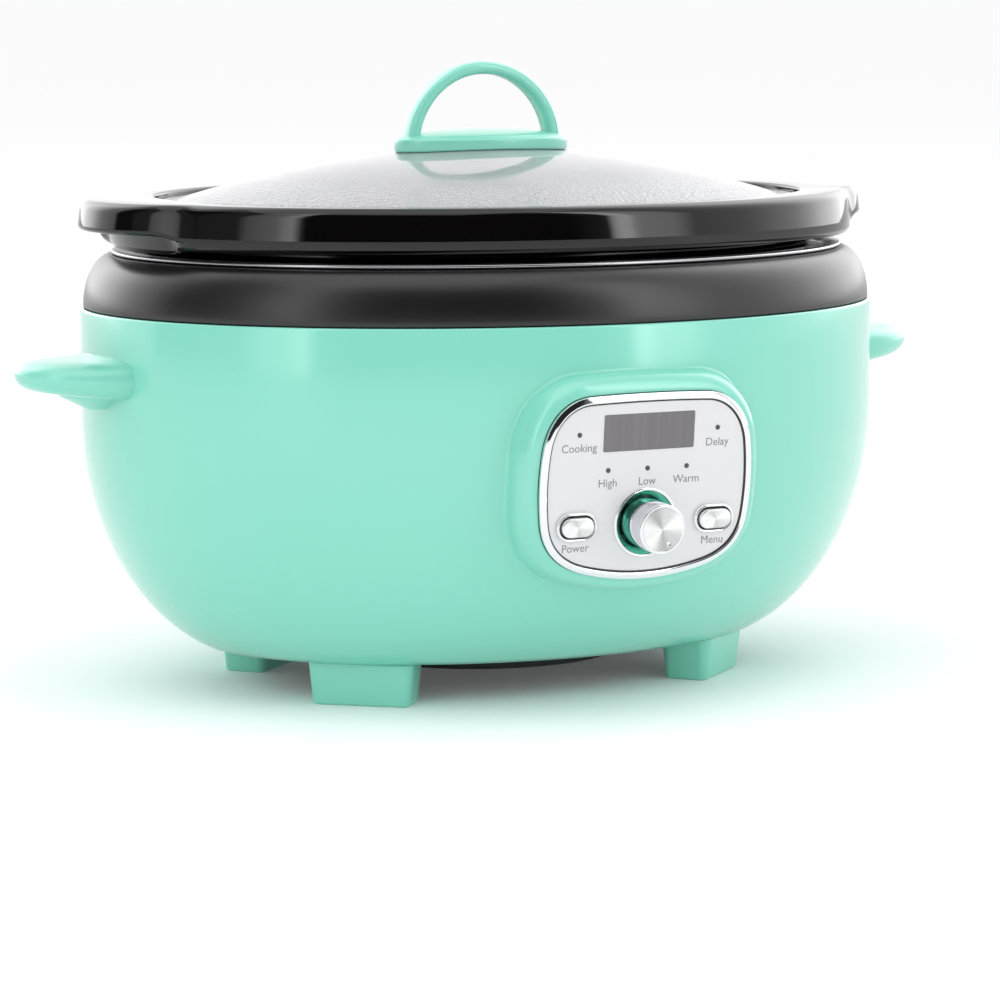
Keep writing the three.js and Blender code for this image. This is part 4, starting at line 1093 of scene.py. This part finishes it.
def makeKnob(settings):
    s = settings
    r, top, soft = s["knobRadius"], s["knobProud"], s["knobRound"]
    side = turnedSolid("control_knob_side", [(0, -1.7 * mm, 0), (r, -1.7 * mm, 0.3 * mm), (r, top, soft),
                                             (r - 1.1 * mm, top, 0.2 * mm), (r - 1.3 * mm, top - 0.3 * mm, 0),
                                             (0, top - 0.3 * mm, 0)],
                       finishes["chrome"], knobPlace, turns=96, arcSteps=6)
    face = turnedSolid("control_knob_face", [(0, top - 0.6 * mm, 0), (r - 1.2 * mm, top - 0.6 * mm, 0.05 * mm)]
                       + [((r - 1.2 * mm) * (1 - k / 30), top, 0) for k in range(31)],
                       finishes["knobSpun"], knobPlace, turns=120)
    centre = Vector((dimple["out"] * math.cos(math.radians(dimple["turn"])),
                     dimple["out"] * math.sin(math.radians(dimple["turn"]))))
    back = knobPlace.inverted()
    for vertex in face.data.vertices:
        local = back @ vertex.co
        share = (local.xy - centre).length / dimple["radius"]
        if share < 1 and local.z > top - 0.1 * mm:
            local.z -= dimple["depth"] * (1 - share * share) ** 2
            vertex.co = knobPlace @ local
    return side, face


def makeKnobRing(settings):
    s = settings
    r, w, proud, deep = s["ringRadius"], s["ringWidth"], s["ringProud"], s["dishDepth"]
    rim = turnedSolid("knob_rim", [(r, -deep, 0.3 * mm), (r, proud, 0.6 * mm), (r - w, proud, 0.5 * mm),
                                   (r - w, -deep, 0.3 * mm)],
                      finishes["chrome"], knobPlace, turns=96, poles=False)
    # the dish's colour is a painted reflection of the mint body
    dish = turnedSolid("knob_dish", [(r - w + 0.1 * mm, -deep, 0), (r - w + 0.1 * mm, -0.3 * mm, 0.2 * mm),
                                     (r - w - 0.4 * mm, -0.7 * mm, 0.8 * mm),
                                     (s["knobRadius"] + 0.5 * mm, -2 * mm, 0.3 * mm),
                                     (s["knobRadius"] + 0.4 * mm, -deep, 0)],
                       finishes["paintedMintReflection"], knobPlace, turns=96, poles=False)
    return rim, dish


def makeButton(name, side, settings):
    s = settings
    where = knobPlace @ Matrix.Translation((side * s["buttonX"], 0, 0))
    outline = stadium(s["buttonWidth"], s["buttonHeight"])
    cap = outlineSolid(name + "_key", outline, softLevels(-1.5 * mm, s["buttonProud"], 0.75 * mm, 6, flat=0.6 * mm),
                       finishes[name + "Spun"], where)
    inner, outer = 0.5 * mm, s["buttonRing"]
    levels = []
    for k in range(17):
        angle = math.pi * k / 16
        levels.append(((inner + outer) / 2 + (outer - inner) / 2 * math.cos(angle),
                       0.3 * mm + 1.2 * mm * math.sin(angle)))
    levels += [(inner, -0.8 * mm), (outer, -0.8 * mm)]
    ring = outlineSolid(name + "_key_ring", outline, levels, finishes["chrome"], where, loop=True, smoothAngle=60)
    return cap, ring


# painted reflection: light and dark sectors in the colour of the knob face and the key caps
finishes["knobSpun"] = turnedReflectionMaterial("turnedKnobPaintedReflection", 0, controlRow, 0.92, 0.4, 2, 0.4, 0.26)
finishes["powerSpun"] = turnedReflectionMaterial("turnedPowerKeyPaintedReflection", -controls["buttonX"], controlRow, 0.9, 0.55, 2, 0.4, 0.24)
finishes["menuSpun"] = turnedReflectionMaterial("turnedMenuKeyPaintedReflection", controls["buttonX"], controlRow, 0.9, 0.55, 2, 0.4, 0.24)
knobSide, knobFace = makeKnob(controls)
place(knobSide, "knob", "chrome", "knob_cap")
place(knobFace, "knob", "chrome")
rim, dish = makeKnobRing(controls)
place(rim, "housing", "chrome", "knob_ring")
place(dish, "housing", "chrome")
for name, side in (("power", -1), ("menu", 1)):
    cap, ring = makeButton(name, side, controls)
    place(cap, name + "_button", "chrome", name + "_button")
    place(ring, "housing", "chrome", name + "_button_ring")
print("control panel made")

# underside: base plate with stiffening ribs, screws and the cord's gland

base = {"flangeInset": 70 * mm, "bossLength": 60 * mm, "bossWidth": 56 * mm, "plate": 2 * mm, "draft": 1.5 * mm}


def makeBase(settings):
    s = settings
    low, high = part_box("base_plate")
    under = high.z - s["plate"]
    outline = [(0, 0, low.z, 0), (s["bossLength"] - s["draft"], s["bossWidth"] - s["draft"], low.z, 2.5 * mm),
               (s["bossLength"], s["bossWidth"], under, 1.2 * mm), inset(s["flangeInset"], under, 0.5 * mm),
               inset(s["flangeInset"], high.z, 0.5 * mm), (0, 0, high.z, 0)]
    return ovalSolid("base_cover", outline, finishes["underside"], turns=120)


place(makeBase(base), "housing", "underside", "base_plate")


# starts a Geometry Nodes tree with named inputs, and ends it in real geometry with a material
def startTree(name, inputs):
    tree = bpy.data.node_groups.new(name, "GeometryNodeTree")
    tree.interface.new_socket(name="Geometry", in_out="INPUT", socket_type="NodeSocketGeometry")
    for label, value in inputs.items():
        kind = "NodeSocketInt" if isinstance(value, int) else "NodeSocketFloat"
        tree.interface.new_socket(name=label, in_out="INPUT", socket_type=kind).default_value = value
    tree.interface.new_socket(name="Finish", in_out="INPUT", socket_type="NodeSocketMaterial")
    tree.interface.new_socket(name="Geometry", in_out="OUTPUT", socket_type="NodeSocketGeometry")
    return tree, tree.nodes.new("NodeGroupInput")


def endTree(tree, given, instances):
    real = tree.nodes.new("GeometryNodeRealizeInstances")
    finish = tree.nodes.new("GeometryNodeSetMaterial")
    result = tree.nodes.new("NodeGroupOutput")
    tree.links.new(instances, real.inputs[0])
    fill(finish, Geometry=real.outputs[0], Material=given.outputs["Finish"])
    tree.links.new(finish.outputs[0], result.inputs[0])


def grownPiece(name, tree, points, values, finish, smoothAngle=40):
    mesh = bpy.data.meshes.new(name)
    mesh.from_pydata([place for place, direction in points], [], [])
    outwards = mesh.attributes.new("outwards", "FLOAT_VECTOR", "POINT")
    for i, (place, direction) in enumerate(points):
        outwards.data[i].vector = direction
    piece = bpy.data.objects.new(name, mesh)
    bpy.context.scene.collection.objects.link(piece)
    modifier = piece.modifiers.new("grown", "NODES")
    modifier.node_group = tree
    sockets = {item.name: item.identifier for item in tree.interface.items_tree if item.in_out == "INPUT"}
    for label, value in values.items():
        modifier[sockets[label]] = value
    modifier[sockets["Finish"]] = finishes[finish]
    return bakedPiece(piece, name, smoothAngle)


# screws: a domed head with a cross recess, one on every point, facing outwards
def makeScrewTree():
    tree, given = startTree("screws", {"Head Radius": 3.4 * mm, "Head Height": 2 * mm, "Recess": 3.6 * mm,
                                       "Recess Width": 0.9 * mm})
    dome = fill(addNode(tree, "GeometryNodeMeshUVSphere"), Segments=24, Rings=14, Radius=1)
    scale = addNode(tree, "GeometryNodeTransform")
    size = addNode(tree, "ShaderNodeCombineXYZ")
    for axis, label in zip("XYZ", ("Head Radius", "Head Radius", "Head Height")):
        tree.links.new(given.outputs[label], size.inputs[axis])
    fill(scale, Geometry=dome.outputs["Mesh"], Scale=size.outputs[0])
    recess = addNode(tree, "GeometryNodeMeshBoolean")
    recess.operation = "DIFFERENCE"
    tree.links.new(scale.outputs[0], recess.inputs["Mesh 1"])
    for turn in (0, 1):
        bar = addNode(tree, "GeometryNodeMeshCube")
        barSize = addNode(tree, "ShaderNodeCombineXYZ")
        tree.links.new(given.outputs["Recess"], barSize.inputs["XY"[turn]])
        tree.links.new(given.outputs["Recess Width"], barSize.inputs["YX"[turn]])
        fill(barSize, Z=given.outputs["Head Height"])
        fill(bar, Size=barSize.outputs[0])
        lift = addNode(tree, "GeometryNodeTransform")
        up = fill(addNode(tree, "ShaderNodeCombineXYZ"), Z=given.outputs["Head Height"])
        fill(lift, Geometry=bar.outputs["Mesh"], Translation=up.outputs[0])
        tree.links.new(lift.outputs[0], recess.inputs["Mesh 2"])
    direction = addNode(tree, "GeometryNodeInputNamedAttribute")
    direction.data_type = "FLOAT_VECTOR"
    fill(direction, Name="outwards")
    turned = addNode(tree, "FunctionNodeAlignRotationToVector")
    turned.axis = "Z"
    fill(turned, Vector=direction.outputs[0])
    spread = addNode(tree, "GeometryNodeInstanceOnPoints")
    fill(spread, Points=given.outputs["Geometry"], Instance=recess.outputs["Mesh"], Rotation=turned.outputs[0])
    endTree(tree, given, spread.outputs[0])
    return tree


# ribs: rounded bars side by side along X, on each point
def makeRibTree():
    tree, given = startTree("ribs", {"Count": 9, "Pitch": 9 * mm, "Length": 60 * mm, "Radius": 1.4 * mm})
    line = addNode(tree, "GeometryNodeCurvePrimitiveLine")
    for end, factor in (("Start", -0.5), ("End", 0.5)):
        half = mathNode(tree, "MULTIPLY", given.outputs["Length"], factor)
        corner = fill(addNode(tree, "ShaderNodeCombineXYZ"), Y=half)
        tree.links.new(corner.outputs[0], line.inputs[end])
    section = fill(addNode(tree, "GeometryNodeCurvePrimitiveCircle"), Resolution=12, Radius=given.outputs["Radius"])
    bar = addNode(tree, "GeometryNodeCurveToMesh")
    fill(bar, Fill_Caps=True, Curve=line.outputs[0], Profile_Curve=section.outputs[0])
    row = addNode(tree, "GeometryNodeMeshLine")
    step = addNode(tree, "ShaderNodeCombineXYZ")
    start = addNode(tree, "ShaderNodeCombineXYZ")
    spread = addNode(tree, "GeometryNodeInstanceOnPoints")
    places = addNode(tree, "GeometryNodeInstanceOnPoints")
    whole = mathNode(tree, "MULTIPLY", mathNode(tree, "SUBTRACT", given.outputs["Count"], 1), -0.5)
    fill(start, X=mathNode(tree, "MULTIPLY", whole, given.outputs["Pitch"]))
    fill(step, X=given.outputs["Pitch"])
    fill(row, Count=given.outputs["Count"], Start_Location=start.outputs[0], Offset=step.outputs[0])
    fill(spread, Points=row.outputs[0], Instance=bar.outputs[0])
    fill(places, Points=given.outputs["Geometry"], Instance=spread.outputs[0])
    endTree(tree, given, places.outputs[0])
    return tree


screwTree = makeScrewTree()
baseScrewPoints = []
for k in range(1, 5):
    low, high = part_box(f"base_screw_{k}")
    baseScrewPoints.append((((low.x + high.x) / 2, (low.y + high.y) / 2, low.z + 2 * mm), (0, 0, -1)))
screws = grownPiece("base_screws", screwTree, baseScrewPoints, {}, "steel", 30)
place(screws, "housing", "steel", *(f"base_screw_{k}" for k in range(1, 5)))
screwLow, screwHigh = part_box("lid_screw")
lidScrewPoint = [((0, middleY, washerLow.z - 0.1 * mm), (0, 0, -1))]
lidScrew = grownPiece("lid_screw_head", screwTree, lidScrewPoint,
                      {"Head Radius": screwHigh.x, "Head Height": washerLow.z - screwLow.z - 0.2 * mm,
                       "Recess": 5.4 * mm, "Recess Width": 1.2 * mm}, "steel", 30)
place(lidScrew, "lid", "steel")
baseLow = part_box("base_plate")[0]
ribs = grownPiece("base_ribs", makeRibTree(), [((0, middleY, baseLow.z + 0.6 * mm), (0, 0, 1))],
                  {"Count": 9, "Pitch": 9 * mm, "Length": 58 * mm, "Radius": 1.3 * mm}, "underside")
place(ribs, "housing", "underside")

gland = {"bore": 3.6 * mm, "body": 6 * mm, "flange": 9 * mm, "flangeThick": 3 * mm, "soft": 1 * mm}


def makeGland(settings):
    s = settings
    low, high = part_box("cord_gland")
    where = Matrix.Translation((0, 0, (low.z + high.z) / 2)) @ Matrix.Rotation(-math.pi / 2, 4, "X")
    step = high.y - s["flangeThick"]
    outline = [(s["bore"], low.y, 0.3 * mm), (s["body"], low.y, 0.3 * mm), (s["body"], step, 0.3 * mm),
               (s["flange"], step, 0.5 * mm), (s["flange"], high.y, s["soft"]),
               (s["bore"] + 1.2 * mm, high.y, 0.4 * mm), (s["bore"], high.y - 1.2 * mm, 0.4 * mm)]
    return turnedSolid("cord_bushing", outline, finishes["underside"], where, turns=48, poles=False)


place(faceOutwards(makeGland(gland)), "housing", "underside", "cord_gland")
print("underside made")

# floor, world and lights

floorSettings = {"radius": 90, "sides": 128, "colour": (252, 252, 253)}


def makeFloor(settings):
    ring = [(settings["radius"] * math.cos(2 * math.pi * k / settings["sides"]),
             settings["radius"] * math.sin(2 * math.pi * k / settings["sides"]), 0) for k in range(settings["sides"])]
    finish = mouldedMaterial("studioFloor", settings["colour"], drift=0.01, grainScale=300, grainDepth=0.01,
                             roughness=0.7, spread=0.04, Specular_IOR_Level=0,
                             Emission_Color=(1, 1, 1, 1), Emission_Strength=0.06)
    floor = meshObject("studio_floor", ring, [tuple(range(settings["sides"]))], finish)


makeFloor(floorSettings)

# seen: what the camera sees; around: what lights the object; reflections: brightness by the angle from
# the front, left is positive, with narrow lights, soft boxes and a black flag
studio = {"seen": (1, 1, 1, 1), "around": 1.16, "turn": -27.0, "full": 8, "overhead": 0.9,
          "reflections": [(-180, 1.3), (-172, 1.4), (-162, 2.6), (-150, 3.4), (-128, 3.4), (-112, 2),
                          (-104, 1.7), (-91, 1.1), (-76, 0.9), (-70, 2.4), (-61, 2.8), (-58.5, 5.5), (-55.5, 5),
                          (-53.5, 0.2), (-45, 0.02), (25, 0.02), (28, 3.4), (31, 3), (34, 1.9), (45, 1.2), (49, 0.25),
                          (66, 0.2), (69, 0.05), (87, 0.05), (91, 1.3), (109, 1.8), (124, 3.6), (145, 3.8),
                          (160, 2.2), (172, 1.4), (180, 1.3)]}


def makeWorld(settings):
    world = bpy.data.worlds.new("studio")
    bpy.context.scene.world = world
    world.use_nodes = True
    tree = world.node_tree
    tree.nodes.clear()
    direction = addNode(tree, "ShaderNodeTexCoord")
    turn = math.radians(settings["turn"])
    sides = []
    for axis in ((math.sin(turn), -math.cos(turn), 0), (-math.cos(turn), -math.sin(turn), 0)):
        side = addNode(tree, "ShaderNodeVectorMath", operation="DOT_PRODUCT")
        side.inputs[1].default_value = axis
        tree.links.new(direction.outputs["Generated"], side.inputs[0])
        sides.append(side.outputs["Value"])
    angle = mathNode(tree, "ARCTAN2", sides[1], sides[0])
    share = mathNode(tree, "ADD", mathNode(tree, "DIVIDE", angle, 2 * math.pi), 0.5)
    ramp = addNode(tree, "ShaderNodeValToRGB")
    stops = ramp.color_ramp.elements
    while len(stops) < len(settings["reflections"]):
        stops.new(0.5)
    for stop, (degrees, value) in zip(stops, settings["reflections"]):
        level = value / settings["full"]
        stop.position = degrees / 360 + 0.5
        stop.color = (level, level, level, 1)
    fill(ramp, Fac=share)
    split = addNode(tree, "ShaderNodeSeparateXYZ")
    tree.links.new(direction.outputs["Generated"], split.inputs[0])
    high = fill(addNode(tree, "ShaderNodeMapRange", interpolation_type="SMOOTHSTEP"), From_Min=0.72, From_Max=0.95)
    fill(high, Value=split.outputs["Z"])
    path = addNode(tree, "ShaderNodeLightPath")
    layers = {}
    for name, strength in (("reflected", settings["full"]), ("overhead", settings["overhead"]),
                           ("around", settings["around"]), ("seen", 1)):
        layers[name] = fill(addNode(tree, "ShaderNodeBackground"), Strength=strength)
    tree.links.new(ramp.outputs["Color"], layers["reflected"].inputs["Color"])
    layers["seen"].inputs["Color"].default_value = settings["seen"]
    last = layers["reflected"].outputs[0]
    notReflected = mathNode(tree, "SUBTRACT", 1, path.outputs["Is Glossy Ray"])
    for factor, name in ((high.outputs["Result"], "overhead"), (notReflected, "around"),
                         (path.outputs["Is Camera Ray"], "seen")):
        mix = fill(addNode(tree, "ShaderNodeMixShader"), Fac=factor)
        tree.links.new(last, mix.inputs[1])
        tree.links.new(layers[name].outputs[0], mix.inputs[2])
        last = mix.outputs[0]
    result = fill(addNode(tree, "ShaderNodeOutputWorld"), Surface=last)


makeWorld(studio)

lights = {
    "top": {"place": (-0.5, -0.6, 3.2), "size": (3, 3), "power": 24},
    "left": {"place": (-2.6, -1.6, 1.6), "size": (1.2, 1.2), "power": 10},
    "right": {"place": (2.4, -2.4, 1.4), "size": (1.2, 1.2), "power": 10},
}


# area lights that all point at the middle of the housing; only the top one shows in gloss
def makeLights(settings):
    target = Vector((0, 0, 0.12))
    for name, values in settings.items():
        data = bpy.data.lights.new("light_" + name, "AREA")
        data.shape = "RECTANGLE"
        data.size, data.size_y = values["size"]
        data.energy = values["power"]
        light = bpy.data.objects.new("light_" + name, data)
        light.location = values["place"]
        light.visible_glossy = name == "top"
        light.rotation_euler = (target - light.location).to_track_quat("-Z", "Y").to_euler()
        bpy.context.scene.collection.objects.link(light)


makeLights(lights)
bpy.context.scene.view_settings.view_transform = "Standard"
print("floor, world and lights made")
